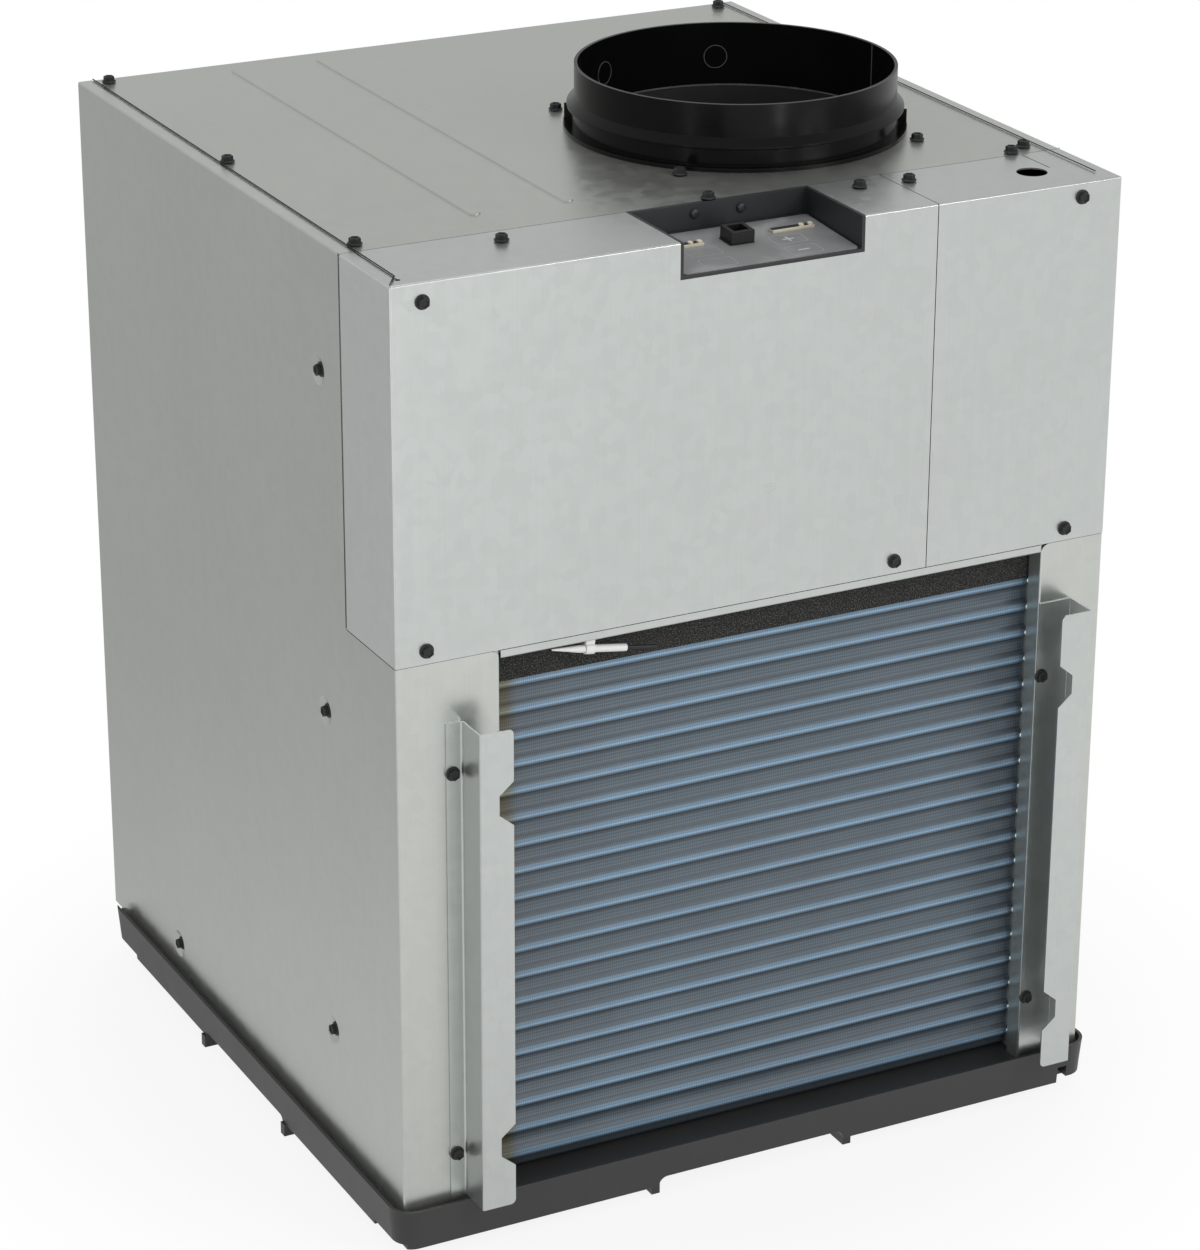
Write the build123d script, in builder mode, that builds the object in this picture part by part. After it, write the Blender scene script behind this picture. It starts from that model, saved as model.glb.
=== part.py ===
"""Vertical terminal air conditioner: a folded sheet-metal cabinet on a moulded pan.

The room side faces -Y: return air enters through the blue indoor coil behind two filter
rails, and conditioned air leaves upwards through the round duct collar. The back faces
the wall plenum. Origin: centre of the outer box, on the floor. Millimetres, +Z up.
"""
import os
from math import cos, radians, sin

from build123d import *

os.makedirs("parts", exist_ok=True)

# Cabinet
width = 587.4
depth = 587.4
sheet = 1.2
bend = 1.6
seam = 0.7
seat = 0.3
top_flange = 11.7

# Moulded base pan
rim_reach = 8.6
rim_top = 42.5
rim_wall = 2.5
pan_deck = 36.0
skirt_bottom = 10.0
skirt_taper = 5.0
rib_inset_front = 9.2
rib_inset_side = 1.2
pan_corner = 18.0
pan_setback = 12.0
rib_wide = 7.0
rib_pitch_x = 168.0
rib_pitch_y = 163.0
relief_shift = -4.0
relief_high = 7.5
relief_high_side = 4.5
relief_deep = 14.0
relief_flat = 0.5
skirt_end_lift = 4.0
skirt_end_long = 50.0
pan_notch_wide = 8.3
pan_notch_high = 14.0
pan_notch_from_side = 21.0
skirt_end_in = 9.0

# Upper covers and the posts beside the coil opening
cover_high = 278.6
cover_deep = 82.5
small_cover_wide = 156.3
post_setback = 0.8
left_post_wide = 80.9
right_post_wide = 54.5
post_return = 16.0
post_corner = 7.0
header_show = 7.1
header_high = 13.5
header_flange = 19.0
header_gap = 0.7
deck_lip = 12.0
slit_wide = 0.9
relief_hole_r = 2.0
knockout_r = 11.5
knockout_from_side = 53.1
knockout_from_front = 39.0
side_slit_in = 35.2
side_slit_long = 40.0

# Screw dimples pressed into the side panels
dimple_r = 12.5
dimple_floor_r = 7.0
dimple_deep = 2.6
dimple_sides = 24
dimple_places = ((124.0, 655.7), (125.7, 393.3), (124.9, 132.6), (440.2, 61.8))

# Control recess
tub_from_split = 60.9
tub_wide = 148.5
tub_wall = 2.2
tub_front_drop = 27.0
tub_back_drop = 22.0
plate_thick = 0.8
plate_margin = 1.5
plate_corner = 3.0
slot_gap = 0.5
socket_size = 18.0
socket_high = 10.0
socket_hollow = 12.0
socket_hollow_deep = 7.0
socket_shift = -2.5
socket_from_front = 48.7
pins_long = 34.0
pins_wide = 6.0
pins_high = 2.5
pins_right_in = 9.8
pins_left_in = 8.0
pins_right_back = 22.0
pins_left_back = 24.6

# Duct collar, throat and blower
collar_from_side = 185.7
collar_from_front = 248.0
collar_inner_r = 119.8
collar_wall = 2.5
collar_high = 49.0
collar_foot_step = 1.7
collar_flange_reach = 6.5
collar_flange_thick = 3.0
bead_reach = 5.7
bead_low = 15.0
bead_high = 24.0
bead_slope = 2.0
gusset_count = 2
gusset_turn = -30.0
gusset_thick = 2.0
gusset_tip = 0.6
gusset_sunk = 0.5
throat_drop = 60.0
throat_out_r = 72.0
throat_wall = 2.4
blower_clear = 2.8
blower_neck = 152.0

# Stiffening beads of the top panel
bead_wide = 9.0
bead_rise = 1.0
bead_taper = 30
bead_from_side = (124.2, 197.7)
bead_front_gap = 40.0
bead_back_gap = 21.0

# Indoor coil, and the blower deck above it
partition_from_front = 384.0
coil_from_front = 24.0
coil_thick = 44.0
coil_left_behind = 9.2
coil_right_past = 4.8
coil_lift = 3.2
tube_pitch = 21.4
tube_rows = 19
ridge_rise = 3.0
ridge_wide = 11.0
ridge_flat = 4.0
tube_r = 4.0
tube_sides = 8
bend_straight = 5.0
bend_reach = 10.0
bend_corner = 5.0
end_plate = 1.5
end_plate_flange = 10.0
foam_over_coil = 21.7
foam_proud = 4.0
foam_overlap = 6.3

# Filter rails
rail_deep = 29.0
rail_left_out = 30.5
rail_right_out = 28.5
rail_front_flange = 26.6
rail_left_base = 12.5
rail_right_base = 28.5
rail_under_covers = 48.4
rail_corner = 4.0
notch_deep = 11.5
notch_narrow = 15.0
notch_mouth = 36.0
notch_from_end = (57.5, 49.5)

# Return-air sensor
sensor_r = 2.8
sensor_long = 60.0
sensor_point = 22.0
sensor_tip_r = 0.6
sensor_from_opening = 73.3
sensor_tilt = 8.7
sensor_hang = 8.0
round_sides = 16
clip_wide = 7.0
clip_thick = 1.2
clip_gap = 1.0
lead_r = 1.4
lead_long = 24.0

# Rear panel, outdoor coil and air inlet
rear_frame = 49.7
outdoor_cover = 6.0
divider_high = 60.0
inlet_open_high = 250.0
window_corner = 6.0
outdoor_coil_lift = 13.0
outdoor_rows = 16
grille_border = 12.0
blade_count = 11
blade_deep = 14.0
blade_thick = 1.5
blade_angle = 35.0
gasket_high = 24.0

# Heights worked out upwards from the floor
coil_bottom = pan_deck + coil_lift
coil_top = coil_bottom + tube_rows * tube_pitch
deck_bottom = coil_top + foam_over_coil
header_bottom = deck_bottom - sheet
cover_bottom = header_bottom + header_show
header_top = header_bottom + header_high
cabinet_top = cover_bottom + cover_high
deck_top = deck_bottom + sheet
rail_bottom = rim_top + seat
rail_top = cover_bottom - rail_under_covers
outdoor_bottom = pan_deck + outdoor_coil_lift
outdoor_top = outdoor_bottom + outdoor_rows * tube_pitch
outdoor_window = (outdoor_bottom + outdoor_cover, outdoor_top - outdoor_cover)
inlet_bottom = outdoor_window[1] + divider_high
inlet_window = (inlet_bottom, inlet_bottom + inlet_open_high)

# Planes worked out across and back
half_w = width / 2
inner_half = half_w - sheet - seat
back_y = (depth + rail_deep) / 2
front_y = back_y - depth
post_y = front_y + post_setback
pan_back = back_y - pan_setback
pan_front = front_y - rim_reach
pan_half = half_w + rim_reach
cover_back = front_y + cover_deep
partition_y = front_y + partition_from_front
opening_left = left_post_wide - half_w
opening_right = half_w - right_post_wide
cover_split = half_w - small_cover_wide
tub_right = cover_split - tub_from_split
tub_left = tub_right - tub_wide
collar_x = half_w - collar_from_side
collar_y = front_y + collar_from_front
coil_left = opening_left - coil_left_behind
coil_right = opening_right + coil_right_past
coil_front = front_y + coil_from_front
coil_back = coil_front + coil_thick
rear_y = pan_back - sheet
rear_open_half = half_w - rear_frame
outdoor_half = rear_open_half + outdoor_cover
outdoor_front = rear_y - coil_thick
rib_x = (-rib_pitch_x / 2, rib_pitch_x / 2)
middle_y = (front_y + back_y) / 2
rib_y = (middle_y - rib_pitch_y / 2, middle_y + rib_pitch_y / 2)
knockout_x = half_w - knockout_from_side
side_slit_x = half_w - side_slit_in
bead_x = [inward - half_w for inward in bead_from_side]
rail_front = front_y - rail_deep
web_left = opening_left - rail_left_out
web_right = opening_right + rail_right_out


def save(piece, name):
    """Labels one finished piece and writes it as a STEP file."""
    piece.part.label = name
    export_step(piece.part, f"parts/{name}.step")


def plate(x_range, y_range, z_range, mode=Mode.ADD):
    """A flat rectangular plate or cut between three pairs of planes."""
    size = [high - low for low, high in (x_range, y_range, z_range)]
    middle = [(high + low) / 2 for low, high in (x_range, y_range, z_range)]
    with Locations(tuple(middle)):
        Box(*size, mode=mode)


def coil_pack(left, right, near, bottom, rows, ridges_toward):
    """A finned coil's block: flat behind, with one bevelled ridge at each tube row."""
    far = near + coil_thick
    top = bottom + rows * tube_pitch
    face = near if ridges_toward < 0 else far
    with BuildSketch(Plane.YZ.offset(left)) as section:
        with BuildLine():
            edge = face + (ridge_rise if ridges_toward < 0 else -ridge_rise)
            other = far if ridges_toward < 0 else near
            start = Line((other, top), (other, bottom))
            Line(start @ 1, (edge, bottom))
            low = bottom
            for row in range(rows):
                middle = bottom + (row + 0.5) * tube_pitch
                ridge_low = middle - ridge_wide / 2
                crest = (middle - ridge_flat / 2, middle + ridge_flat / 2)
                Line((edge, low), (edge, ridge_low))
                low = middle + ridge_wide / 2
                Polyline((edge, ridge_low), (face, crest[0]), (face, crest[1]), (edge, low))
            Line((edge, low), (edge, top))
            Line((edge, top), (other, top))
        make_face()
    extrude(section.sketch, amount=right - left)


def return_bends(plane_x, outward, near, bottom, rows):
    """The U-shaped tube bends that join neighbouring tube rows outside an end plate."""
    for row in range(0, rows - 1, 2):
        low = bottom + (row + 0.5) * tube_pitch
        high = low + tube_pitch
        knee = plane_x + outward * bend_straight
        reach = plane_x + outward * bend_reach
        with BuildLine() as path:
            Polyline((plane_x, near, low), (knee, near, low), (reach, near, low + bend_corner),
                     (reach, near, high - bend_corner), (knee, near, high), (plane_x, near, high))
        with BuildSketch(Plane(origin=(plane_x, near, low), z_dir=(outward, 0, 0))) as section:
            RegularPolygon(tube_r, tube_sides)
        sweep(section.sketch, path=path.line, transition=Transition.RIGHT)


# Base pan: tapered skirt, lip on three sides, ribs underneath
with BuildPart() as base_pan:
    with BuildSketch(Plane.XY.offset(rim_top)):
        with Locations((0, (pan_front + pan_back) / 2)):
            RectangleRounded(2 * pan_half, pan_back - pan_front, pan_corner)
    extrude(amount=skirt_bottom - rim_top, taper=skirt_taper)
    # Deck inside a thin rim, open at the back
    deck_y = (pan_front + rim_wall, pan_back + pan_corner)
    with BuildSketch(Plane.XY.offset(pan_deck)):
        with Locations((0, sum(deck_y) / 2)):
            RectangleRounded(2 * (pan_half - rim_wall), deck_y[1] - deck_y[0], pan_corner - rim_wall)
    extrude(amount=rim_top - pan_deck + 1, mode=Mode.SUBTRACT)
    # Reliefs in the skirt between the ribs, in front and at both sides
    with BuildSketch(Plane.XZ.offset(-pan_front - relief_deep)):
        with Locations((relief_shift, skirt_bottom)):
            RectangleRounded(rib_pitch_x - rib_wide, 2 * relief_high, relief_high - relief_flat)
    extrude(amount=relief_deep + 1, mode=Mode.SUBTRACT)
    for side in (-1, 1):
        with BuildSketch(Plane.YZ.offset(side * pan_half)):
            with Locations((middle_y, skirt_bottom)):
                RectangleRounded(rib_pitch_y - rib_wide, 2 * relief_high_side, relief_high_side - relief_flat)
        extrude(amount=-side * relief_deep, mode=Mode.SUBTRACT)
        # The side skirts are raised a little towards the corners
        x_pair = sorted((side * (pan_half + 1), side * (pan_half - skirt_end_in)))
        lift_z = (skirt_bottom - 1, skirt_bottom + skirt_end_lift)
        plate(x_pair, (pan_front - 1, pan_front + skirt_end_long), lift_z, Mode.SUBTRACT)
        plate(x_pair, (pan_back - skirt_end_long, pan_back + 1), lift_z, Mode.SUBTRACT)
    # Notch in the front skirt beside the right corner
    notch_right = pan_half - pan_notch_from_side
    plate((notch_right - pan_notch_wide, notch_right), (pan_front - 1, pan_front + relief_deep),
          (skirt_bottom - 1, skirt_bottom + pan_notch_high), Mode.SUBTRACT)
    plate((notch_right, pan_half + 1), (pan_front - 1, pan_front + relief_deep),
          (skirt_bottom - 1, skirt_bottom + skirt_end_lift), Mode.SUBTRACT)
    rib_z = (0, skirt_bottom)
    rib_ends = (pan_front + rib_inset_front, pan_back - rib_inset_front)
    for x in rib_x:
        plate((x - rib_wide / 2, x + rib_wide / 2), rib_ends, rib_z)
    rib_reach = pan_half - rib_inset_side
    for y in rib_y:
        plate((-rib_reach, rib_reach), (y - rib_wide / 2, y + rib_wide / 2), rib_z)
save(base_pan, "base_pan")


def side_panel(side, opening_edge):
    """A folded side: outer skin with screw dimples, top flange, front post with its return."""
    outer = side * half_w
    post_top = cover_bottom - seam
    with BuildSketch(Plane.XY.offset(pan_deck)) as lower:
        with BuildLine():
            FilletPolyline((outer, back_y), (outer, post_y), (opening_edge, post_y),
                           (opening_edge, post_y + post_return), radius=bend)
            offset(amount=sheet, side=Side.LEFT if side < 0 else Side.RIGHT)
        make_face()
    extrude(lower.sketch, amount=post_top - pan_deck)
    with BuildSketch(Plane.XZ.offset(-back_y)) as upper:
        with BuildLine():
            FilletPolyline((outer, cover_bottom - bend), (outer, cabinet_top),
                           (outer - side * top_flange, cabinet_top), radius=bend)
            offset(amount=sheet, side=Side.RIGHT if side < 0 else Side.LEFT)
        make_face()
    extrude(upper.sketch, amount=back_y - cover_back - seam)
    # The return stops below the header, and the post's inner corner is rounded
    x_pair = sorted((opening_edge - side, opening_edge + side * 2 * (sheet + bend)))
    y_pair = (post_y + sheet, post_y + post_return + 1)
    plate(x_pair, y_pair, (header_bottom - seat, cover_bottom), Mode.SUBTRACT)
    centre_x = opening_edge + side * post_corner
    with BuildSketch(Plane.XZ.offset(-post_y - 2 * sheet)) as corner:
        with Locations((opening_edge + side * (post_corner - 1) / 2, post_top - (post_corner - 1) / 2)):
            Rectangle(post_corner + 1, post_corner + 1)
        with Locations((centre_x, post_top - post_corner)):
            Circle(post_corner, mode=Mode.SUBTRACT)
    extrude(corner.sketch, amount=4 * sheet, mode=Mode.SUBTRACT)
    for back_from_front, z in dimple_places:
        outside = Plane(origin=(outer, front_y + back_from_front, z), z_dir=(-side, 0, 0))
        with BuildSketch(outside) as rim:
            RegularPolygon(dimple_r, dimple_sides)
        with BuildSketch(outside.offset(dimple_deep + sheet)) as floor:
            RegularPolygon(dimple_floor_r, dimple_sides)
        loft([rim.sketch, floor.sketch])
        with BuildSketch(outside) as rim_inside:
            RegularPolygon(dimple_r - sheet, dimple_sides)
        with BuildSketch(outside.offset(dimple_deep)) as floor_inside:
            RegularPolygon(dimple_floor_r - sheet, dimple_sides)
        loft([rim_inside.sketch, floor_inside.sketch], mode=Mode.SUBTRACT)


with BuildPart() as left_side_panel:
    side_panel(-1, opening_left)
save(left_side_panel, "left_side_panel")

with BuildPart() as right_side_panel:
    side_panel(1, opening_right)
save(right_side_panel, "right_side_panel")

# Top panel: stiffening beads, hole for the duct collar, lip folded down at the back
with BuildPart() as top_panel:
    top_half = half_w - top_flange - seam
    with BuildSketch(Plane.YZ.offset(-top_half)):
        with BuildLine():
            FilletPolyline((cover_back + seam, cabinet_top), (back_y, cabinet_top),
                           (back_y, cabinet_top - pan_setback), radius=bend)
            offset(amount=sheet, side=Side.RIGHT)
        make_face()
    extrude(amount=2 * top_half)
    bead_start = cover_back + bead_front_gap
    bead_end = back_y - bead_back_gap
    with BuildSketch(Plane.XY.offset(cabinet_top)):
        for x in bead_x:
            with Locations((x, (bead_start + bead_end) / 2)):
                SlotOverall(bead_end - bead_start, bead_wide, rotation=90)
    extrude(amount=bead_rise, taper=bead_taper)
    with BuildSketch(Plane.XY.offset(cabinet_top)):
        with Locations((collar_x, collar_y)):
            Circle(collar_inner_r)
    extrude(amount=-2 * sheet, mode=Mode.SUBTRACT)
save(top_panel, "top_panel")


def cover_shell(piece, low_x, high_x, side):
    """An upper cover folded from one sheet: front, one side return and a top flange."""
    with BuildSketch(Plane.XY.offset(cover_bottom)) as footprint:
        with Locations(((low_x + high_x) / 2, (front_y + cover_back) / 2)):
            Rectangle(high_x - low_x, cover_deep)
    block = extrude(footprint.sketch, amount=cabinet_top - cover_bottom)
    uprights = block.edges().filter_by(Axis.Z).group_by(Axis.X)[0 if side < 0 else -1]
    corner = uprights.sort_by(Axis.Y)[0]
    ridge = block.edges().filter_by(Axis.X).group_by(Axis.Z)[-1].sort_by(Axis.Y)[0]
    shoulder = block.edges().filter_by(Axis.Y).group_by(Axis.Z)[-1].sort_by(Axis.X)[0 if side < 0 else -1]
    fillet([corner, ridge, shoulder], radius=bend)
    inner = piece.faces().sort_by(Axis.X)[-1 if side < 0 else 0]
    below = piece.faces().sort_by(Axis.Z)[0]
    behind = piece.faces().sort_by(Axis.Y)[-1]
    offset(amount=-sheet, openings=[below, behind, inner])


# Front cover with the cut-out for the control recess
with BuildPart() as front_cover:
    cover_shell(front_cover, -half_w, cover_split - seam, -1)
    recess_z = (cabinet_top - tub_front_drop, cabinet_top + 1)
    plate((tub_left, tub_right), (front_y - 1, cover_back + 1), recess_z, Mode.SUBTRACT)
    slit_x = top_flange - half_w
    plate((slit_x - slit_wide / 2, slit_x + slit_wide / 2), (front_y + top_flange, cover_back + 1),
          (cabinet_top - 2 * sheet, cabinet_top + 1), Mode.SUBTRACT)
    with Locations((slit_x, front_y + top_flange, cabinet_top)):
        Hole(relief_hole_r, depth=2 * sheet)
save(front_cover, "front_cover")

# Electrical cover with its cable knockout
with BuildPart() as electrical_cover:
    cover_shell(electrical_cover, cover_split, half_w, 1)
    with Locations((knockout_x, front_y + knockout_from_front, cabinet_top)):
        Hole(knockout_r, depth=2 * sheet)
    plate((side_slit_x - slit_wide / 2, side_slit_x + slit_wide / 2),
          (cover_back - side_slit_long, cover_back - bend), (cabinet_top - 2 * sheet, cabinet_top + 1),
          Mode.SUBTRACT)
save(electrical_cover, "electrical_cover")

# Header rail between the posts: flush below the covers, tucked behind them, flanged back
with BuildPart() as header_rail:
    header_x = (opening_left + header_gap, opening_right - header_gap)
    with BuildSketch(Plane.YZ.offset(header_x[0])):
        with BuildLine():
            FilletPolyline((front_y + seat, cover_bottom - header_gap), (front_y + seat, header_bottom),
                           (front_y + seat + header_flange, header_bottom), radius=bend)
            offset(amount=sheet, side=Side.LEFT)
        make_face()
    extrude(amount=header_x[1] - header_x[0])
    tab_y = front_y + seat + sheet
    plate(header_x, (tab_y, tab_y + sheet), (cover_bottom - header_gap - sheet, header_top))
save(header_rail, "header_rail")


def floor_z(y, lift):
    """Height of the control recess's sloping floor, raised by lift."""
    slope = (tub_front_drop - tub_back_drop) / cover_deep
    return cabinet_top - tub_front_drop + slope * (y - front_y) + lift


def tub_profile(lift, grow, back_margin):
    """Side view of the control recess: open above and in front, with a sloping floor."""
    near = front_y - grow
    far = cover_back - back_margin
    above = cabinet_top + grow
    return [(near, above), (near, floor_z(near, lift)), (far, floor_z(far, lift)), (far, above)]


# Control recess: open tub set into the front cover
with BuildPart() as control_tub:
    with BuildSketch(Plane.YZ.offset(tub_left + seat)):
        with BuildLine():
            Polyline(*tub_profile(seat, 0, seat), close=True)
        make_face()
    extrude(amount=tub_right - tub_left - 2 * seat)
    with BuildSketch(Plane.YZ.offset(tub_left + seat + tub_wall)):
        with BuildLine():
            Polyline(*tub_profile(seat + tub_wall, 1, seat + tub_wall), close=True)
        make_face()
    extrude(amount=tub_right - tub_left - 2 * (seat + tub_wall), mode=Mode.SUBTRACT)
save(control_tub, "control_tub")

# Plane of the tub's floor, from its front edge back and up
floor_front = floor_z(front_y, seat + tub_wall)
floor_at = Plane(origin=((tub_left + tub_right) / 2, front_y, floor_front), x_dir=(1, 0, 0),
                 z_dir=(0, tub_back_drop - tub_front_drop, cover_deep))
tub_inner_wide = tub_right - tub_left - 2 * (seat + tub_wall)
plate_long = cover_deep - 2 * tub_wall - 2 * plate_margin
pins_places = (
    (tub_inner_wide / 2 - pins_long / 2 - pins_right_in, plate_long - pins_right_back),
    (pins_long / 2 + pins_left_in - tub_inner_wide / 2, plate_long - pins_left_back),
)
socket_place = (socket_shift, socket_from_front)

# Control plate with cut-outs for the socket and the pin headers
with BuildPart() as control_plate:
    with BuildSketch(floor_at):
        with Locations((0, plate_long / 2 + plate_margin)):
            RectangleRounded(tub_inner_wide - 2 * plate_margin, plate_long, plate_corner)
        with Locations(socket_place):
            Rectangle(socket_size + 2 * slot_gap, socket_size + 2 * slot_gap, mode=Mode.SUBTRACT)
        with Locations(*pins_places):
            Rectangle(pins_long + 2 * slot_gap, pins_wide + 2 * slot_gap, mode=Mode.SUBTRACT)
    extrude(amount=plate_thick)
save(control_plate, "control_plate")

# Square data socket standing in the plate's cut-out
with BuildPart() as data_socket:
    with BuildSketch(floor_at):
        with Locations(socket_place):
            Rectangle(socket_size, socket_size)
    extrude(amount=socket_high)
    with BuildSketch(floor_at.offset(socket_high)):
        with Locations(socket_place):
            Rectangle(socket_hollow, socket_hollow)
    extrude(amount=-socket_hollow_deep, mode=Mode.SUBTRACT)
save(data_socket, "data_socket")

# Two pale pin headers in their slots
with BuildPart() as pin_headers:
    with BuildSketch(floor_at):
        with Locations(*pins_places):
            Rectangle(pins_long, pins_wide)
    extrude(amount=pins_high)
save(pin_headers, "pin_headers")

# Duct collar: flanged tube with a raised bead that stops the duct
collar_plane = Plane(origin=(collar_x, collar_y, cabinet_top), x_dir=(1, 0, 0), z_dir=(0, -1, 0))
collar_outer_r = collar_inner_r + collar_wall
collar_lower_r = collar_outer_r + collar_foot_step
collar_flange_r = collar_lower_r + collar_flange_reach
bead_r = collar_outer_r + bead_reach
with BuildPart() as duct_collar:
    with BuildSketch(collar_plane):
        with BuildLine():
            Polyline(
                (collar_inner_r, 0),
                (collar_flange_r, 0),
                (collar_flange_r, collar_flange_thick),
                (collar_lower_r, collar_flange_thick),
                (collar_lower_r, bead_low),
                (bead_r, bead_low + bead_slope),
                (bead_r, bead_high - bead_reach),
                (collar_outer_r, bead_high),
                (collar_outer_r, collar_high),
                (collar_inner_r, collar_high),
                close=True,
            )
        make_face()
    revolve(axis=Axis((collar_x, collar_y, 0), (0, 0, 1)))
    gusset_high = bead_low - collar_flange_thick
    with Locations(Location((collar_x, collar_y, cabinet_top + collar_flange_thick))):
        with PolarLocations(collar_lower_r - gusset_sunk, gusset_count, gusset_turn):
            Wedge(collar_flange_reach, gusset_thick, gusset_high, 0, 0, gusset_tip, gusset_thick,
                  align=(Align.MIN, Align.CENTER, Align.MIN))
save(duct_collar, "duct_collar")

# Outlet throat: a bell mouth from the round collar down to the blower's outlet
throat_top = cabinet_top - sheet
throat_in = collar_inner_r - throat_out_r
bell = []
for angle in (0, 22.5, 45, 67.5, 90):
    across = throat_out_r + throat_in * cos(radians(angle))
    bell.append((across, -sheet - throat_drop * sin(radians(angle))))
outlet_z = throat_top - throat_drop - throat_wall
blower_r = (outlet_z - deck_top) / 2 - blower_clear
with BuildPart() as outlet_throat:
    with BuildSketch(collar_plane):
        with BuildLine():
            Polyline(*bell)
            offset(amount=throat_wall, side=Side.LEFT)
        make_face()
    revolve(axis=Axis((collar_x, collar_y, 0), (0, 0, 1)))
save(outlet_throat, "outlet_throat")

# Blower housing: scroll with its neck under the throat
with BuildPart() as blower_housing:
    blower_z = deck_top + blower_r
    with BuildSketch(Plane.XZ.offset(-collar_y - blower_neck / 2)):
        with Locations((collar_x + blower_neck / 2 - blower_r, blower_z)):
            Circle(blower_r)
        with Locations((collar_x, (blower_z + outlet_z) / 2)):
            Rectangle(blower_neck, outlet_z - blower_z)
    extrude(amount=blower_neck)
save(blower_housing, "blower_housing")

# Blower deck: closes the coil chamber, with an upturned lip behind the header rail
with BuildPart() as blower_deck:
    deck_front = front_y + 2 * (seat + sheet)
    with BuildSketch(Plane.YZ.offset(-inner_half)):
        with BuildLine():
            FilletPolyline((deck_front, deck_bottom + deck_lip), (deck_front, deck_bottom),
                           (partition_y - seat, deck_bottom), radius=bend)
            offset(amount=sheet, side=Side.LEFT)
        make_face()
    extrude(amount=2 * inner_half)
save(blower_deck, "blower_deck")

# Partition between the room side and the outdoor side
with BuildPart() as partition:
    plate((-inner_half, inner_half), (partition_y, partition_y + sheet), (pan_deck, cabinet_top - sheet))
save(partition, "partition")

# Indoor coil
with BuildPart() as indoor_coil:
    coil_pack(coil_left, coil_right, coil_front, coil_bottom, tube_rows, -1)
save(indoor_coil, "indoor_coil")


def coil_end_plates(low_x, high_x, near, top):
    """The two flanged end plates that carry a coil's tubes and stand on the pan."""
    for x, side in ((low_x - end_plate, -1), (high_x, 1)):
        plate((x, x + end_plate), (near, near + coil_thick), (pan_deck, top))
        flange = sorted((x if side > 0 else x + end_plate, x + side * end_plate_flange))
        plate(flange, (near + coil_thick - end_plate, near + coil_thick), (pan_deck, top))


with BuildPart() as indoor_coil_end_plates:
    coil_end_plates(coil_left, coil_right, coil_front, coil_top)
save(indoor_coil_end_plates, "indoor_coil_end_plates")

with BuildPart() as indoor_coil_bends:
    for near in (coil_front + coil_thick / 4, coil_back - coil_thick / 4):
        return_bends(coil_right + end_plate, 1, near, coil_bottom, tube_rows)
save(indoor_coil_bends, "indoor_coil_bends")

# Foam strip that seals the coil's top edge against the deck
with BuildPart() as foam_strip:
    plate((-inner_half, inner_half), (coil_front, coil_back), (coil_top, deck_bottom))
    lip_z = (coil_top - foam_overlap, deck_bottom)
    plate((-inner_half, inner_half), (coil_front - foam_proud, coil_front), lip_z)
save(foam_strip, "foam_strip")


def rail_notches(free_edge, inward, face_y):
    """Finger notches that let the filter clips into a rail's front flange."""
    for z in (rail_top - notch_from_end[0], rail_bottom + notch_from_end[1]):
        with BuildSketch(Plane.XZ.offset(-face_y - 2 * sheet)) as notch:
            with BuildLine():
                Polyline(
                    (free_edge + inward, z + notch_mouth / 2),
                    (free_edge - inward * notch_deep, z + notch_narrow / 2),
                    (free_edge - inward * notch_deep, z - notch_narrow / 2),
                    (free_edge + inward, z - notch_mouth / 2),
                    close=True,
                )
            make_face()
        extrude(notch.sketch, amount=4 * sheet, mode=Mode.SUBTRACT)


def filter_rail(points, side):
    """A rail folded from one sheet: base flange, web and notched front flange."""
    with BuildSketch(Plane.XY.offset(rail_bottom)) as section:
        with BuildLine():
            FilletPolyline(*points, radius=bend)
            offset(amount=sheet, side=Side.LEFT)
        make_face()
    extrude(section.sketch, amount=rail_top - rail_bottom)
    free_edge = (web_left if side < 0 else web_right) - side * rail_front_flange
    rail_notches(free_edge, -side, rail_front)
    with BuildSketch(Plane.XZ.offset(-rail_front - 2 * sheet)) as corners:
        for z, down in ((rail_top, 1), (rail_bottom, -1)):
            with Locations((free_edge, z)):
                Rectangle(2 * rail_corner, 2 * rail_corner)
            with Locations((free_edge + side * rail_corner, z - down * rail_corner)):
                Circle(rail_corner, mode=Mode.SUBTRACT)
    extrude(corners.sketch, amount=4 * sheet, mode=Mode.SUBTRACT)


with BuildPart() as filter_rail_left:
    filter_rail([(web_left - rail_left_base, post_y - sheet), (web_left, post_y - sheet),
                 (web_left, rail_front), (web_left + rail_front_flange, rail_front)], -1)
save(filter_rail_left, "filter_rail_left")

with BuildPart() as filter_rail_right:
    filter_rail([(web_right - rail_front_flange, rail_front), (web_right, rail_front),
                 (web_right, post_y), (web_right - rail_right_base, post_y)], 1)
save(filter_rail_right, "filter_rail_right")

# Return-air sensor: white pointed tube in a clip under the header rail, with a short lead
sensor_y = post_y + sheet + sensor_r + clip_thick
sensor_z = header_bottom - sensor_hang
sensor_axis = Vector(1, 0, 0).rotate(Axis.Y, sensor_tilt)
sensor_plane = Plane(origin=(opening_left + sensor_from_opening, sensor_y, sensor_z), x_dir=(0, 1, 0),
                     z_dir=tuple(sensor_axis))
with BuildPart() as sensor_clip:
    stem = sensor_hang - clip_gap
    with BuildSketch(sensor_plane.offset(-clip_wide / 2)):
        RegularPolygon(sensor_r + clip_thick, round_sides)
        with Locations((0, stem / 2)):
            Rectangle(2 * clip_thick, stem)
        RegularPolygon(sensor_r + seat, round_sides, mode=Mode.SUBTRACT)
    extrude(amount=clip_wide)
save(sensor_clip, "sensor_clip")

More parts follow.
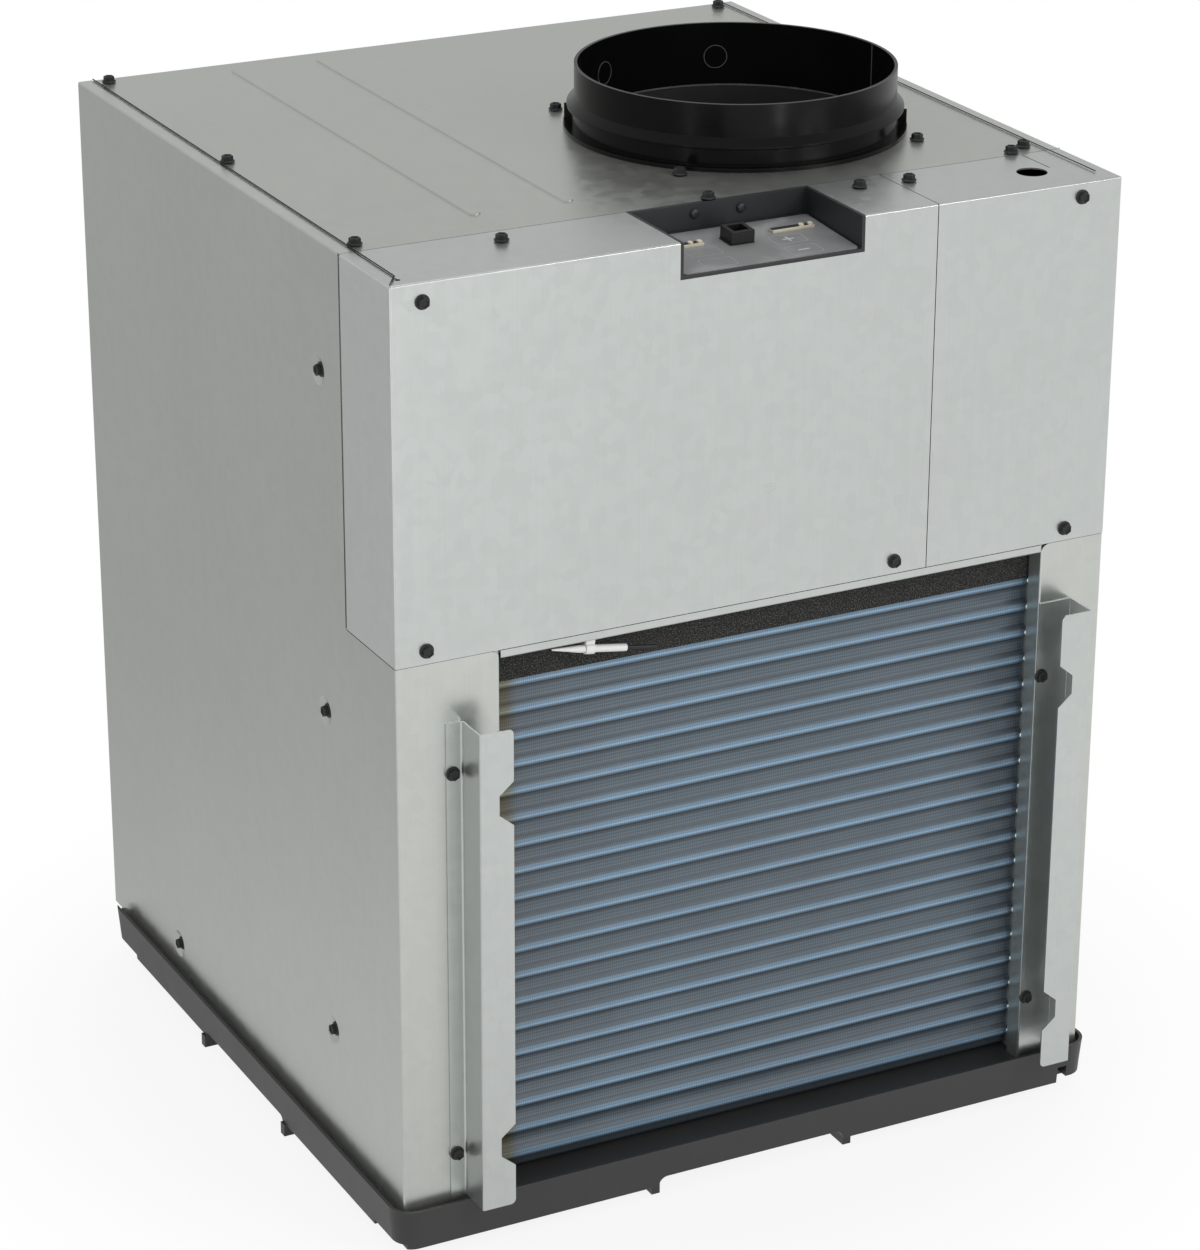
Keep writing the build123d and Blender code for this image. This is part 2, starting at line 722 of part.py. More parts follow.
with BuildPart() as sensor_tube:
    half = sensor_long / 2
    with BuildSketch(sensor_plane.offset(sensor_point - half)):
        RegularPolygon(sensor_r, round_sides)
    extrude(amount=sensor_long - sensor_point)
    with BuildSketch(sensor_plane.offset(sensor_point - half)):
        RegularPolygon(sensor_r, round_sides)
    with BuildSketch(sensor_plane.offset(-half)):
        RegularPolygon(sensor_tip_r, round_sides)
    loft()
save(sensor_tube, "sensor_tube")

with BuildPart() as sensor_lead:
    with BuildSketch(sensor_plane.offset(sensor_long / 2)):
        RegularPolygon(lead_r, round_sides)
    extrude(amount=lead_long)
save(sensor_lead, "sensor_lead")

# Rear panel with the outdoor coil's window and the air inlet's window
with BuildPart() as rear_panel:
    plate((-inner_half, inner_half), (rear_y, pan_back), (pan_deck, cabinet_top - sheet))
    for low, high in (outdoor_window, inlet_window):
        with BuildSketch(Plane.XZ.offset(-pan_back - 1)):
            with Locations((0, (low + high) / 2)):
                RectangleRounded(2 * rear_open_half, high - low, window_corner)
        extrude(amount=4 * sheet, mode=Mode.SUBTRACT)
save(rear_panel, "rear_panel")

# Outdoor coil behind the rear panel's lower window
with BuildPart() as outdoor_coil:
    coil_pack(-outdoor_half, outdoor_half, outdoor_front, outdoor_bottom, outdoor_rows, 1)
save(outdoor_coil, "outdoor_coil")

with BuildPart() as outdoor_coil_end_plates:
    coil_end_plates(-outdoor_half, outdoor_half, outdoor_front, outdoor_top)
save(outdoor_coil_end_plates, "outdoor_coil_end_plates")

# Louvred inlet grille fixed behind the rear panel's upper window
with BuildPart() as inlet_grille:
    half_x = rear_open_half + grille_border
    grille_front = rear_y - blade_deep
    low, high = inlet_window
    plate((-half_x, half_x), (grille_front, rear_y), (low - grille_border, high + grille_border))
    plate((-rear_open_half, rear_open_half), (grille_front - 1, rear_y + 1), (low, high), Mode.SUBTRACT)
    blade_pitch = inlet_open_high / blade_count
    for blade in range(blade_count):
        with BuildSketch(Plane.YZ.offset(-rear_open_half)):
            with Locations(((grille_front + rear_y) / 2, low + (blade + 0.5) * blade_pitch)):
                Rectangle(blade_deep, blade_thick, rotation=-blade_angle)
        extrude(amount=2 * rear_open_half)
save(inlet_grille, "inlet_grille")

# Foam divider on the rear panel between inlet and coil
with BuildPart() as rear_gasket:
    gasket_z = inlet_bottom - divider_high / 2
    z_pair = (gasket_z - gasket_high / 2, gasket_z + gasket_high / 2)
    plate((-inner_half, inner_half), (pan_back, back_y), z_pair)
save(rear_gasket, "rear_gasket")
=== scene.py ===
"""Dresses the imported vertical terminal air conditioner: finishes, fins, screws, keypad and stage."""

import bpy
import numpy as np
from bpy.props import FloatProperty, FloatVectorProperty, IntProperty, PointerProperty
from mathutils import Matrix, Vector


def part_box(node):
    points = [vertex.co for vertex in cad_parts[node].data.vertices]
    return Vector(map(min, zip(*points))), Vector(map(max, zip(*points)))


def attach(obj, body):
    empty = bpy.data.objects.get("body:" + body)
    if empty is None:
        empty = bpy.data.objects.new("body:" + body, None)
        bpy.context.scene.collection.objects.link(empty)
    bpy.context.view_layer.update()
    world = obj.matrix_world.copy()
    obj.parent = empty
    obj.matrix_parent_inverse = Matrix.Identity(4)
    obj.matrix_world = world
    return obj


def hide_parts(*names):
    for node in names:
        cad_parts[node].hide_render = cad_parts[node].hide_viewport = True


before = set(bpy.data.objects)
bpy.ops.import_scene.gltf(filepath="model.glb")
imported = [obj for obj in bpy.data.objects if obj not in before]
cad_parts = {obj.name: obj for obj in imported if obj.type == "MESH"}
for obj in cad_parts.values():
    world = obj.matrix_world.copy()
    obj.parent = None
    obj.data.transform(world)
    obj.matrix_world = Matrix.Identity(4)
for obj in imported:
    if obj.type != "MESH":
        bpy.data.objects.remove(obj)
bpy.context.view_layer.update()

bl_info = {
    "name": "Packaged Air Conditioner",
    "version": (1, 0, 0),
    "blender": (4, 5, 0),
    "location": "View3D > Sidebar > Air Conditioner",
    "description": "Finishes and fine parts for an upright packaged air conditioner",
    "category": "Object",
}


def colour(name, text, default):
    """A colour setting with its name, its description and its default."""
    return FloatVectorProperty(name=name, description=text, default=default, size=3, min=0.0, max=1.0, subtype="COLOR")


def length(name, text, default):
    """A length setting in metres."""
    return FloatProperty(name=name, description=text, default=default, unit="LENGTH", subtype="DISTANCE", precision=5)


class SheetMetalSettings(bpy.types.PropertyGroup):
    """Zinc-coated steel of the cabinet."""
    zinc: colour("Zinc", "Colour of the zinc coating", (0.555, 0.580, 0.565))
    # Painted highlight colour for the sheets' edges and folds.
    edge: colour("Painted edge highlight", "Colour where the sheet's edges catch the light", (0.80, 0.82, 0.81))
    roughness: FloatProperty(name="Roughness", description="How blurred reflections are", default=0.30, min=0.0, max=1.0)
    spangle: length("Spangle", "Size of one zinc crystal", 0.009)


class MouldingSettings(bpy.types.PropertyGroup):
    """Moulded plastics: pan, duct collar and control recess."""
    pan: colour("Pan", "Colour of the base pan", (0.034, 0.034, 0.033))
    collar: colour("Collar", "Colour of the duct collar", (0.0040, 0.0040, 0.0040))
    recess: colour("Recess", "Colour of the control recess", (0.016, 0.018, 0.021))
    film: colour("Keypad film", "Colour of the keypad's film", (0.225, 0.23, 0.23))
    ring_radius: length("Moulding ring", "Radius of the ring marks inside the collar", 0.0093)


class CoilSettings(bpy.types.PropertyGroup):
    """Finned coils: pressed fins and tubes."""
    fin_pitch: length("Fin pitch", "Distance from fin to fin", 0.00155)
    fin_depth: length("Fin depth", "How far the gaps between fins reach in", 0.0006)
    tube_pitch: length("Tube pitch", "Distance from tube row to tube row", 0.0214)
    rows: IntProperty(name="Rows", description="Tube rows of the indoor coil", default=19, min=1, subtype="UNSIGNED")
    # The first colour is a painted highlight on the ridges and the second a painted shadow in the folds; the third is
    # the fins' own coating.
    crest_highlight: colour("Painted crest highlight", "Painted highlight on the fins' crests", (0.32, 0.50, 0.68))
    fold_shadow: colour("Painted fold shadow", "Painted shadow in the fins' folds", (0.038, 0.050, 0.064))
    flat: colour("Flat", "Coating on the fins' flat bands", (0.138, 0.176, 0.208))


class FastenerSettings(bpy.types.PropertyGroup):
    """Black hex washer head screws."""
    washer_radius: length("Washer radius", "Radius of a screw's washer", 0.0055)
    across_flats: length("Across flats", "Width of a screw's hexagon", 0.0076)
    height: length("Height", "Height of a screw's head", 0.0046)
    coating: colour("Coating", "Colour of the screws' black coating", (0.020, 0.021, 0.022))


class StageSettings(bpy.types.PropertyGroup):
    """Camera, lamps and floor."""
    azimuth: FloatProperty(name="Azimuth", description="Camera's turn round the object", default=-0.477243,
                           subtype="ANGLE")
    elevation: FloatProperty(name="Elevation", description="Camera's height above level", default=0.392978,
                             subtype="ANGLE")
    roll: FloatProperty(name="Roll", description="Camera's turn about its own axis", default=0.003787, subtype="ANGLE")
    distance: length("Distance", "From the camera to its target", 3.282731)
    lens: FloatProperty(name="Lens", description="Focal length in millimetres on a 36 mm frame", default=118.52,
                        subtype="DISTANCE_CAMERA")
    strip: FloatProperty(name="Strip lamps", description="Power of each tall strip lamp", default=7.0, unit="POWER",
                         subtype="POWER")
    sky: FloatProperty(name="Sky", description="Strength of the surrounding light", default=0.64, min=0.0,
                       subtype="FACTOR")
    floor: colour("Floor", "Colour of the floor", (0.80, 0.80, 0.80))


class AirConditionerSettings(bpy.types.PropertyGroup):
    """All settings of the dressed air conditioner."""
    metal: PointerProperty(name="Sheet metal", description="Zinc-coated steel", type=SheetMetalSettings)
    mould: PointerProperty(name="Mouldings", description="Moulded plastics", type=MouldingSettings)
    coil: PointerProperty(name="Coils", description="Finned coils", type=CoilSettings)
    screw: PointerProperty(name="Screws", description="Hex washer head screws", type=FastenerSettings)
    stage: PointerProperty(name="Stage", description="Camera, lamps and floor", type=StageSettings)


def settings():
    """The scene's settings."""
    return bpy.context.scene.air_conditioner


# ---- surfaces ----

def grid_faces(rows, columns, wrap_rows=False, wrap_columns=False):
    """Quads of a grid of points in reading order; a wrapped direction joins its last line to its first."""
    r = np.arange(rows if wrap_rows else rows - 1)
    c = np.arange(columns if wrap_columns else columns - 1)
    r, c = (a.ravel() for a in np.meshgrid(r, c, indexing="ij"))
    below, beside = (r + 1) % rows, (c + 1) % columns
    return np.stack([r * columns + c, r * columns + beside, below * columns + beside, below * columns + c], 1)


def make_piece(name, points, faces, finish, smooth=True, replaced=()):
    """A mesh piece of the cabinet in metres, riding on the one body.

    faces is a list of arrays, each with its own number of corners.
    """
    mesh = bpy.data.meshes.new(name)
    points = np.asarray(points, np.float64).reshape(-1, 3)
    corners = np.concatenate([np.asarray(f, np.int32).ravel() for f in faces])
    sizes = np.concatenate([np.full(len(f), np.shape(f)[1], np.int32) for f in faces])
    mesh.vertices.add(len(points))
    mesh.vertices.foreach_set("co", points.ravel())
    mesh.loops.add(len(corners))
    mesh.loops.foreach_set("vertex_index", corners)
    mesh.polygons.add(len(sizes))
    mesh.polygons.foreach_set("loop_start", np.concatenate([[0], np.cumsum(sizes)[:-1]]).astype(np.int32))
    mesh.polygons.foreach_set("loop_total", sizes)
    mesh.polygons.foreach_set("use_smooth", np.full(len(sizes), smooth))
    mesh.update(calc_edges=True)
    mesh.validate()
    mesh.materials.append(finish)
    piece = bpy.data.objects.new(name, mesh)
    bpy.context.scene.collection.objects.link(piece)
    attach(piece, "root")
    if replaced:
        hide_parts(*replaced)
    return piece


def lathe(profile, steps, hexagon=None):
    """Points and faces of a profile turned about Z.

    A point is (r cos a, r sin a, z). Where hexagon is 1, r is a half width across flats and is
    divided by the cosine of the angle to the nearest flat, which makes the ring six-sided.
    """
    profile = np.asarray(profile, float)
    a = np.arange(steps) * 2 * np.pi / steps
    r = np.repeat(profile[:, :1], steps, 1)
    if hexagon is not None:
        to_flat = np.mod(a + np.pi / 6, np.pi / 3) - np.pi / 6
        six = np.asarray(hexagon, float)[:, None]
        r = r * (1 - six + six / np.cos(to_flat)[None])
    z = np.repeat(profile[:, 1:2], steps, 1)
    points = np.stack([r * np.cos(a), r * np.sin(a), z], 2).reshape(-1, 3)
    return points, grid_faces(len(profile), steps, wrap_columns=True)


def lidded(faces, rings, steps):
    """A lathe's quads with its underside and its top closed, for an even number of steps.

    Each end is a fan of quads from its first point, over two steps at a time.
    """
    fan = np.arange(1, steps - 1, 2)
    under = np.stack([np.zeros_like(fan), fan + 2, fan + 1, fan], 1)
    under[under >= steps] = 0
    return np.concatenate([faces, under[:, [0, 1, 2, 3]], (under + (rings - 1) * steps)[:, ::-1]])


def frame_of(normal, along=(0.0, 0.0, 1.0)):
    """Axes as rows: x, y and the given normal as z, with y as near to along as it can be."""
    n = np.asarray(normal, float) / np.linalg.norm(normal)
    y = np.asarray(along, float) - n * np.dot(along, n)
    y /= np.linalg.norm(y)
    return np.stack([np.cross(y, n), y, n])


def copies(points, faces, places, frames):
    """The same shape at many places: each copy is turned by its frame and moved to its place."""
    places, frames = np.asarray(places, float), np.asarray(frames, float)
    moved = np.einsum("vi,kij->kvj", points, frames) + places[:, None]
    shift = (np.arange(len(places)) * len(points))[:, None, None]
    return moved.reshape(-1, 3), (faces[None] + shift).reshape(-1, faces.shape[1])


def joined(parts):
    """Several (points, faces) pairs as one, for faces with the same number of corners."""
    base, points, faces = 0, [], []
    for p, f in parts:
        points.append(p)
        faces.append(f + base)
        base += len(p)
    return np.concatenate(points), np.concatenate(faces)


def rounded_outline(half_x, half_y, radius, steps=6):
    """Outline of a rounded rectangle, anticlockwise: corner centres plus radius at even angles."""
    a = np.linspace(0, np.pi / 2, steps)
    quarter = np.stack([np.cos(a), np.sin(a)], 1) * radius
    parts = []
    for turn, (sx, sy) in enumerate(((1, 1), (-1, 1), (-1, -1), (1, -1))):
        c, s = np.cos(turn * np.pi / 2), np.sin(turn * np.pi / 2)
        spun = quarter @ np.array([[c, s], [-s, c]])
        parts.append(spun + [sx * (half_x - radius), sy * (half_y - radius)])
    return np.concatenate(parts)


def raised_band(outline, width, height, frame_rows, origin):
    """A closed thin band along an outline: four rings, inner and outer, low and high, swept round it."""
    centre = outline.mean(0)
    step = outline - centre
    inward = centre + step * (1 - width / np.abs(step).max(0).min())
    rings = [(outline, 0.0), (outline, height), (inward, height), (inward, 0.0)]
    flat = np.stack([np.concatenate([o, np.full((len(o), 1), z)], 1) for o, z in rings])
    faces = grid_faces(4, len(outline), wrap_rows=True, wrap_columns=True)
    return flat.reshape(-1, 3) @ frame_rows + origin, faces


def slab(outline, height, frame_rows, origin):
    """A closed slab: an anticlockwise outline lifted by a height, with its top and its underside."""
    count = len(outline)
    levels = [np.concatenate([outline, np.full((count, 1), z)], 1) for z in (0.0, height)]
    ring = np.arange(count)[None]
    return np.concatenate(levels) @ frame_rows + origin, [grid_faces(2, count, wrap_columns=True), ring[:, ::-1],
                                                          ring + count]


def block(low, high):
    """The eight corners and six outward faces of a box between two corners."""
    low, high = np.asarray(low, float), np.asarray(high, float)
    pick = np.array([[0, 0, 0], [1, 0, 0], [1, 1, 0], [0, 1, 0], [0, 0, 1], [1, 0, 1], [1, 1, 1], [0, 1, 1]])
    faces = np.array([[0, 3, 2, 1], [4, 5, 6, 7], [0, 1, 5, 4], [1, 2, 6, 5], [2, 3, 7, 6], [3, 0, 4, 7]])
    return low + pick * (high - low), faces


# ---- finishes ----

def put(tree, kind, inputs=None, **attributes):
    """Adds a node; an input is linked if it is given a socket and set if it is given a value."""
    made = tree.nodes.new(kind)
    for name, value in attributes.items():
        setattr(made, name, value)
    for key, value in (inputs or {}).items():
        target = made.inputs[key]
        if isinstance(value, bpy.types.NodeSocket):
            tree.links.new(value, target)
        else:
            target.default_value = value
    return made


def maths(tree, operation, *values):
    """Result of a Math node."""
    return put(tree, "ShaderNodeMath", dict(enumerate(values)), operation=operation).outputs[0]


def blended(tree, factor, first, second, blend="MIX"):
    """Result of a colour Mix node."""
    first, second = (v if isinstance(v, bpy.types.NodeSocket) or len(v) == 4 else (*v, 1.0) for v in (first, second))
    made = put(tree, "ShaderNodeMix", {0: factor, 6: first, 7: second}, data_type="RGBA", blend_type=blend)
    return made.outputs[2]


def spread(tree, value, low, high, to_low=0.0, to_high=1.0):
    """A value moved smoothly from one range to another and held at its ends."""
    made = put(tree, "ShaderNodeMapRange", {0: value, 1: low, 2: high, 3: to_low, 4: to_high},
               interpolation_type="SMOOTHSTEP")
    return made.outputs[0]


def effect(name, inputs, outputs):
    """A shader node group with named sockets: its tree, its inputs and its output node."""
    group = bpy.data.node_groups.new(name, "ShaderNodeTree")
    for label, kind, value in inputs:
        socket = group.interface.new_socket(label, in_out="INPUT", socket_type=kind)
        if kind == "NodeSocketFloat":
            socket.default_value = value
    for label, kind in outputs:
        group.interface.new_socket(label, in_out="OUTPUT", socket_type=kind)
    return group, group.nodes.new("NodeGroupInput").outputs, group.nodes.new("NodeGroupOutput")


def use(tree, group_name, inputs):
    """Places a shared effect in a material."""
    made = put(tree, "ShaderNodeGroup", node_tree=bpy.data.node_groups[group_name])
    for key, value in inputs.items():
        if isinstance(value, bpy.types.NodeSocket):
            tree.links.new(value, made.inputs[key])
        else:
            made.inputs[key].default_value = value
    return made.outputs


def make_effects():
    """The shared effects: clouding, rolled sheet, moulded grain and a mask for painted edge highlights."""
    tree, given, out = effect("Clouding", [("Vector", "NodeSocketVector", None), ("Size", "NodeSocketFloat", 0.1),
                                           ("Amount", "NodeSocketFloat", 0.1)], [("Shade", "NodeSocketFloat")])
    scale = maths(tree, "DIVIDE", 1.0, given["Size"])
    noise = put(tree, "ShaderNodeTexNoise", {"Vector": given["Vector"], "Scale": scale, "Detail": 3.0,
                                             "Roughness": 0.5})
    swing = maths(tree, "SUBTRACT", noise.outputs[0], 0.5)
    swing = maths(tree, "MULTIPLY", swing, given["Amount"])
    tree.links.new(maths(tree, "ADD", swing, 1.0), out.inputs["Shade"])

    tree, given, out = effect("Rolled Sheet", [("Vector", "NodeSocketVector", None), ("Spangle", "NodeSocketFloat", 0.01)],
                              [("Crystal", "NodeSocketFloat"), ("Scratches", "NodeSocketFloat"),
                               ("Height", "NodeSocketFloat")])
    scale = maths(tree, "DIVIDE", 1.0, given["Spangle"])
    cells = put(tree, "ShaderNodeTexVoronoi", {"Vector": given["Vector"], "Scale": scale, "Randomness": 1.0})
    grey = put(tree, "ShaderNodeRGBToBW", {0: cells.outputs["Color"]}).outputs[0]
    long_way = put(tree, "ShaderNodeMapping", {"Vector": given["Vector"], "Scale": (900.0, 900.0, 6.0)})
    lines = put(tree, "ShaderNodeTexNoise", {"Vector": long_way.outputs[0], "Scale": 1.0, "Detail": 2.0})
    fine = put(tree, "ShaderNodeTexNoise", {"Vector": given["Vector"], "Scale": 1400.0, "Detail": 1.0})
    tree.links.new(grey, out.inputs["Crystal"])
    tree.links.new(lines.outputs[0], out.inputs["Scratches"])
    tree.links.new(fine.outputs[0], out.inputs["Height"])

    tree, given, out = effect("Moulded Grain", [("Vector", "NodeSocketVector", None), ("Grain", "NodeSocketFloat", 0.0006)],
                              [("Height", "NodeSocketFloat"), ("Wear", "NodeSocketFloat")])
    scale = maths(tree, "DIVIDE", 1.0, given["Grain"])
    grain = put(tree, "ShaderNodeTexNoise", {"Vector": given["Vector"], "Scale": scale, "Detail": 2.0,
                                             "Roughness": 0.6})
    scuffs = put(tree, "ShaderNodeTexNoise", {"Vector": given["Vector"], "Scale": 26.0, "Detail": 4.0,
                                              "Distortion": 0.6})
    tree.links.new(grain.outputs[0], out.inputs["Height"])
    tree.links.new(scuffs.outputs[0], out.inputs["Wear"])

    # Painted highlight mask: high where the bevelled normal turns away from the true normal, at edges.
    tree, given, out = effect("Lit Edge", [("Radius", "NodeSocketFloat", 0.0008)], [("Edge", "NodeSocketFloat")])
    soft = put(tree, "ShaderNodeBevel", {"Radius": given["Radius"]}, samples=4)
    plain = put(tree, "ShaderNodeNewGeometry")
    dot = put(tree, "ShaderNodeVectorMath", {0: soft.outputs[0], 1: plain.outputs["Normal"]}, operation="DOT_PRODUCT")
    away = maths(tree, "SUBTRACT", 1.0, dot.outputs["Value"])
    tree.links.new(spread(tree, away, 0.03, 0.22), out.inputs["Edge"])


def gap_shade(tree, reach=0.004):
    """A factor that darkens narrow gaps and folds, from how much of the sky within reach is hidden."""
    made = put(tree, "ShaderNodeAmbientOcclusion", {"Distance": reach}, samples=6)
    return spread(tree, made.outputs["AO"], 0.12, 0.50, 0.06, 1.0)


def new_finish(name, roughness, metallic=0.0, **shader_values):
    """An empty node material: the material, its tree, its Principled shader and Object coordinates."""
    finish = bpy.data.materials.new(name)
    finish.use_nodes = True
    tree = finish.node_tree
    shader = tree.nodes["Principled BSDF"]
    shader.inputs["Roughness"].default_value = roughness
    shader.inputs["Metallic"].default_value = metallic
    for key, value in shader_values.items():
        shader.inputs[key.replace("_", " ")].default_value = value
    place = put(tree, "ShaderNodeTexCoord").outputs["Object"]
    return finish, tree, shader, place


def bump(tree, shader, height, depth, strength=1.0):
    """Gives a shader a bump from a height between 0 and 1, depth metres deep."""
    made = put(tree, "ShaderNodeBump", {"Height": height, "Distance": depth, "Strength": strength})
    tree.links.new(made.outputs[0], shader.inputs["Normal"])


def zinc_finish(name, tint=(1.0, 1.0, 1.0), clouds=0.05, metallic=0.85, side=None, lit=0.3):
    """Zinc-coated sheet: faint spangle, soft stains, rolling lines, a painted highlight on its edges and painted shade
    in its narrow folds.

    The sheet is painted a little brighter where x is below side, as painted light on that face. lit is how much painted
    highlight its edges get.
    """
    metal = settings().metal
    finish, tree, shader, place = new_finish(name, metal.roughness, metallic)
    base = [c * t for c, t in zip(metal.zinc, tint)]
    sheet = use(tree, "Rolled Sheet", {"Vector": place, "Spangle": metal.spangle})
    cloud = use(tree, "Clouding", {"Vector": place, "Size": 0.16, "Amount": clouds})
    smudge = use(tree, "Clouding", {"Vector": place, "Size": 0.035, "Amount": clouds * 0.25})
    crystal = spread(tree, sheet["Crystal"], 0.0, 1.0, 0.975, 1.02)
    lines = spread(tree, sheet["Scratches"], 0.2, 0.8, 0.985, 1.012)
    shade = maths(tree, "MULTIPLY", maths(tree, "MULTIPLY", cloud["Shade"], smudge["Shade"]),
                  maths(tree, "MULTIPLY", crystal, lines))
    # Painted light: the face where x is below side is painted 1.2 times brighter than the rest of the sheet.
    if side is not None:
        x = put(tree, "ShaderNodeSeparateXYZ", {0: place}).outputs["X"]
        shade = maths(tree, "MULTIPLY", shade, spread(tree, x, side - 0.0001, side + 0.0001, 1.20, 1.0))
    shaded = blended(tree, 1.0, base, put(tree, "ShaderNodeCombineColor", {0: shade, 1: shade, 2: shade}).outputs[0],
                     "MULTIPLY")
    # Painted highlight: the edge colour is mixed in where the bevel mask finds edges and folds.
    edge = use(tree, "Lit Edge", {"Radius": 0.0007})
    lit = blended(tree, maths(tree, "MULTIPLY", edge["Edge"], lit), shaded, metal.edge)
    # Painted shade: the colour is darkened in narrow folds and seams.
    gap = gap_shade(tree)
    lit = blended(tree, 1.0, lit, put(tree, "ShaderNodeCombineColor", {0: gap, 1: gap, 2: gap}).outputs[0], "MULTIPLY")
    tree.links.new(lit, shader.inputs["Base Color"])
    rough = maths(tree, "MULTIPLY_ADD", sheet["Crystal"], 0.07, metal.roughness - 0.03)
    tree.links.new(rough, shader.inputs["Roughness"])
    bump(tree, shader, sheet["Height"], 0.00002, 0.35)
    return finish


def moulded_finish(name, base, roughness, grain=0.0006, depth=0.00004, edge_light=0.05, wear=0.12, **shader_values):
    """Moulded plastic: fine grain, faint scuffs and a painted highlight on its edges."""
    finish, tree, shader, place = new_finish(name, roughness, **shader_values)
    skin = use(tree, "Moulded Grain", {"Vector": place, "Grain": grain})
    scuffed = spread(tree, skin["Wear"], 0.45, 0.75, 0.0, wear)
    worn = blended(tree, scuffed, base, [min(1.0, c * 1.8 + 0.02) for c in base])
    # Painted highlight: a lighter colour is mixed in where the bevel mask finds edges.
    edge = use(tree, "Lit Edge", {"Radius": 0.0010})
    lit = blended(tree, maths(tree, "MULTIPLY", edge["Edge"], 0.6), worn, [min(1.0, c + edge_light) for c in base])
    tree.links.new(lit, shader.inputs["Base Color"])
    tree.links.new(maths(tree, "MULTIPLY_ADD", skin["Wear"], 0.12, roughness - 0.06), shader.inputs["Roughness"])
    bump(tree, shader, skin["Height"], depth)
    return finish


def dress(finish, *nodes):
    """Gives CAD nodes a finish."""
    for name in nodes:
        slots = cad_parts[name].material_slots
        for slot in slots:
            slot.material = finish


def steps_of(tree, place, top, pitch):
    """How far below the top of its tube row a point is, from 0 to 1."""
    z = put(tree, "ShaderNodeSeparateXYZ", {0: place}).outputs["Z"]
    return maths(tree, "FRACT", maths(tree, "DIVIDE", maths(tree, "SUBTRACT", top, z), pitch))


def ramp(tree, factor, stops, interpolation="LINEAR"):
    """Colour of a Color Ramp with (position, colour) stops."""
    made = put(tree, "ShaderNodeValToRGB", {0: factor})
    made.color_ramp.interpolation = interpolation
    elements = made.color_ramp.elements
    while len(elements) > 1:
        elements.remove(elements[-1])
    elements[0].position, elements[0].color = stops[0][0], (*stops[0][1], 1.0)
    for position, value in stops[1:]:
        elements.new(position).color = (*value, 1.0)
    return made.outputs[0]


def fin_finish(name, top, pitch, crest_highlight, fold_shadow, flat, fins, stain_and_shade_x=None):
    """Coated fins: a painted highlight band on each ridge, painted shadow in the folds beside it, painted shade lines
    along each row and painted shade between the fins.

    fins is the x of the first fin and the fin pitch.
    """
    finish, tree, shader, place = new_finish(name, 0.40, 0.2)
    phase = steps_of(tree, place, top, pitch)
    half = [(a + b) / 2 for a, b in zip(fold_shadow, flat)]
    band = [(a + b) / 2 for a, b in zip(crest_highlight, flat)]
    # Painted light: across each tube row the flat colour gives way to a little painted shade, a painted highlight on
    # the ridge and a painted shadow in the fold below it.
    shade = ramp(tree, phase, [(0.0, flat), (0.16, flat), (0.25, half), (0.33, [c * 0.9 for c in flat]), (0.44, band),
                               (0.54, crest_highlight), (0.61, band), (0.67, half), (0.73, fold_shadow), (0.79, half), (0.88, flat)])
    # Painted shade: eight darker lines across each tube row stand in for the fins' small ripples.
    lines = maths(tree, "SINE", maths(tree, "MULTIPLY", phase, 2 * np.pi * 8))
    lines = spread(tree, lines, -1.0, 1.0, 0.82, 1.08)
    x = put(tree, "ShaderNodeSeparateXYZ", {0: place}).outputs["X"]
    # Painted shade: the colour darkens between the fins, once every fin pitch.
    gaps = maths(tree, "COSINE", maths(tree, "MULTIPLY", maths(tree, "SUBTRACT", x, fins[0]), 2 * np.pi / fins[1]))
    gaps = spread(tree, gaps, -1.0, 0.3, 0.72, 1.08)
    cloud = use(tree, "Clouding", {"Vector": place, "Size": 0.05, "Amount": 0.22})
    tone = maths(tree, "MULTIPLY", maths(tree, "MULTIPLY", lines, gaps), cloud["Shade"])
    shade = blended(tree, 1.0, shade, put(tree, "ShaderNodeCombineColor", {0: tone, 1: tone, 2: tone}).outputs[0],
                    "MULTIPLY")
    drift = put(tree, "ShaderNodeTexNoise", {"Vector": place, "Scale": 7.0, "Detail": 1.0})
    warm = spread(tree, drift.outputs[0], 0.42, 0.62, 0.0, 0.35)
    shade = blended(tree, warm, shade, (1.0, 0.92, 0.90), "MULTIPLY")
    # A brown stain and painted shade from the post, both at the coil's left end.
    if stain_and_shade_x is not None:
        stain_and_shade = spread(tree, x, stain_and_shade_x, stain_and_shade_x + 0.014, 0.9, 0.0)
        shade = blended(tree, stain_and_shade, shade, (0.85, 0.56, 0.24), "MULTIPLY")
    tree.links.new(shade, shader.inputs["Base Color"])
    return finish


# ---- operators ----

class AirConditionerOperator:
    """What the operators of the air conditioner share."""
    bl_options = {"REGISTER", "UNDO"}


class AC_OT_effects(AirConditionerOperator, bpy.types.Operator):
    """Make the shader node groups that the finishes share"""
    bl_idname = "air_conditioner.effects"
    bl_label = "Shared Effects"

    def execute(self, context):
        make_effects()
        return {"FINISHED"}


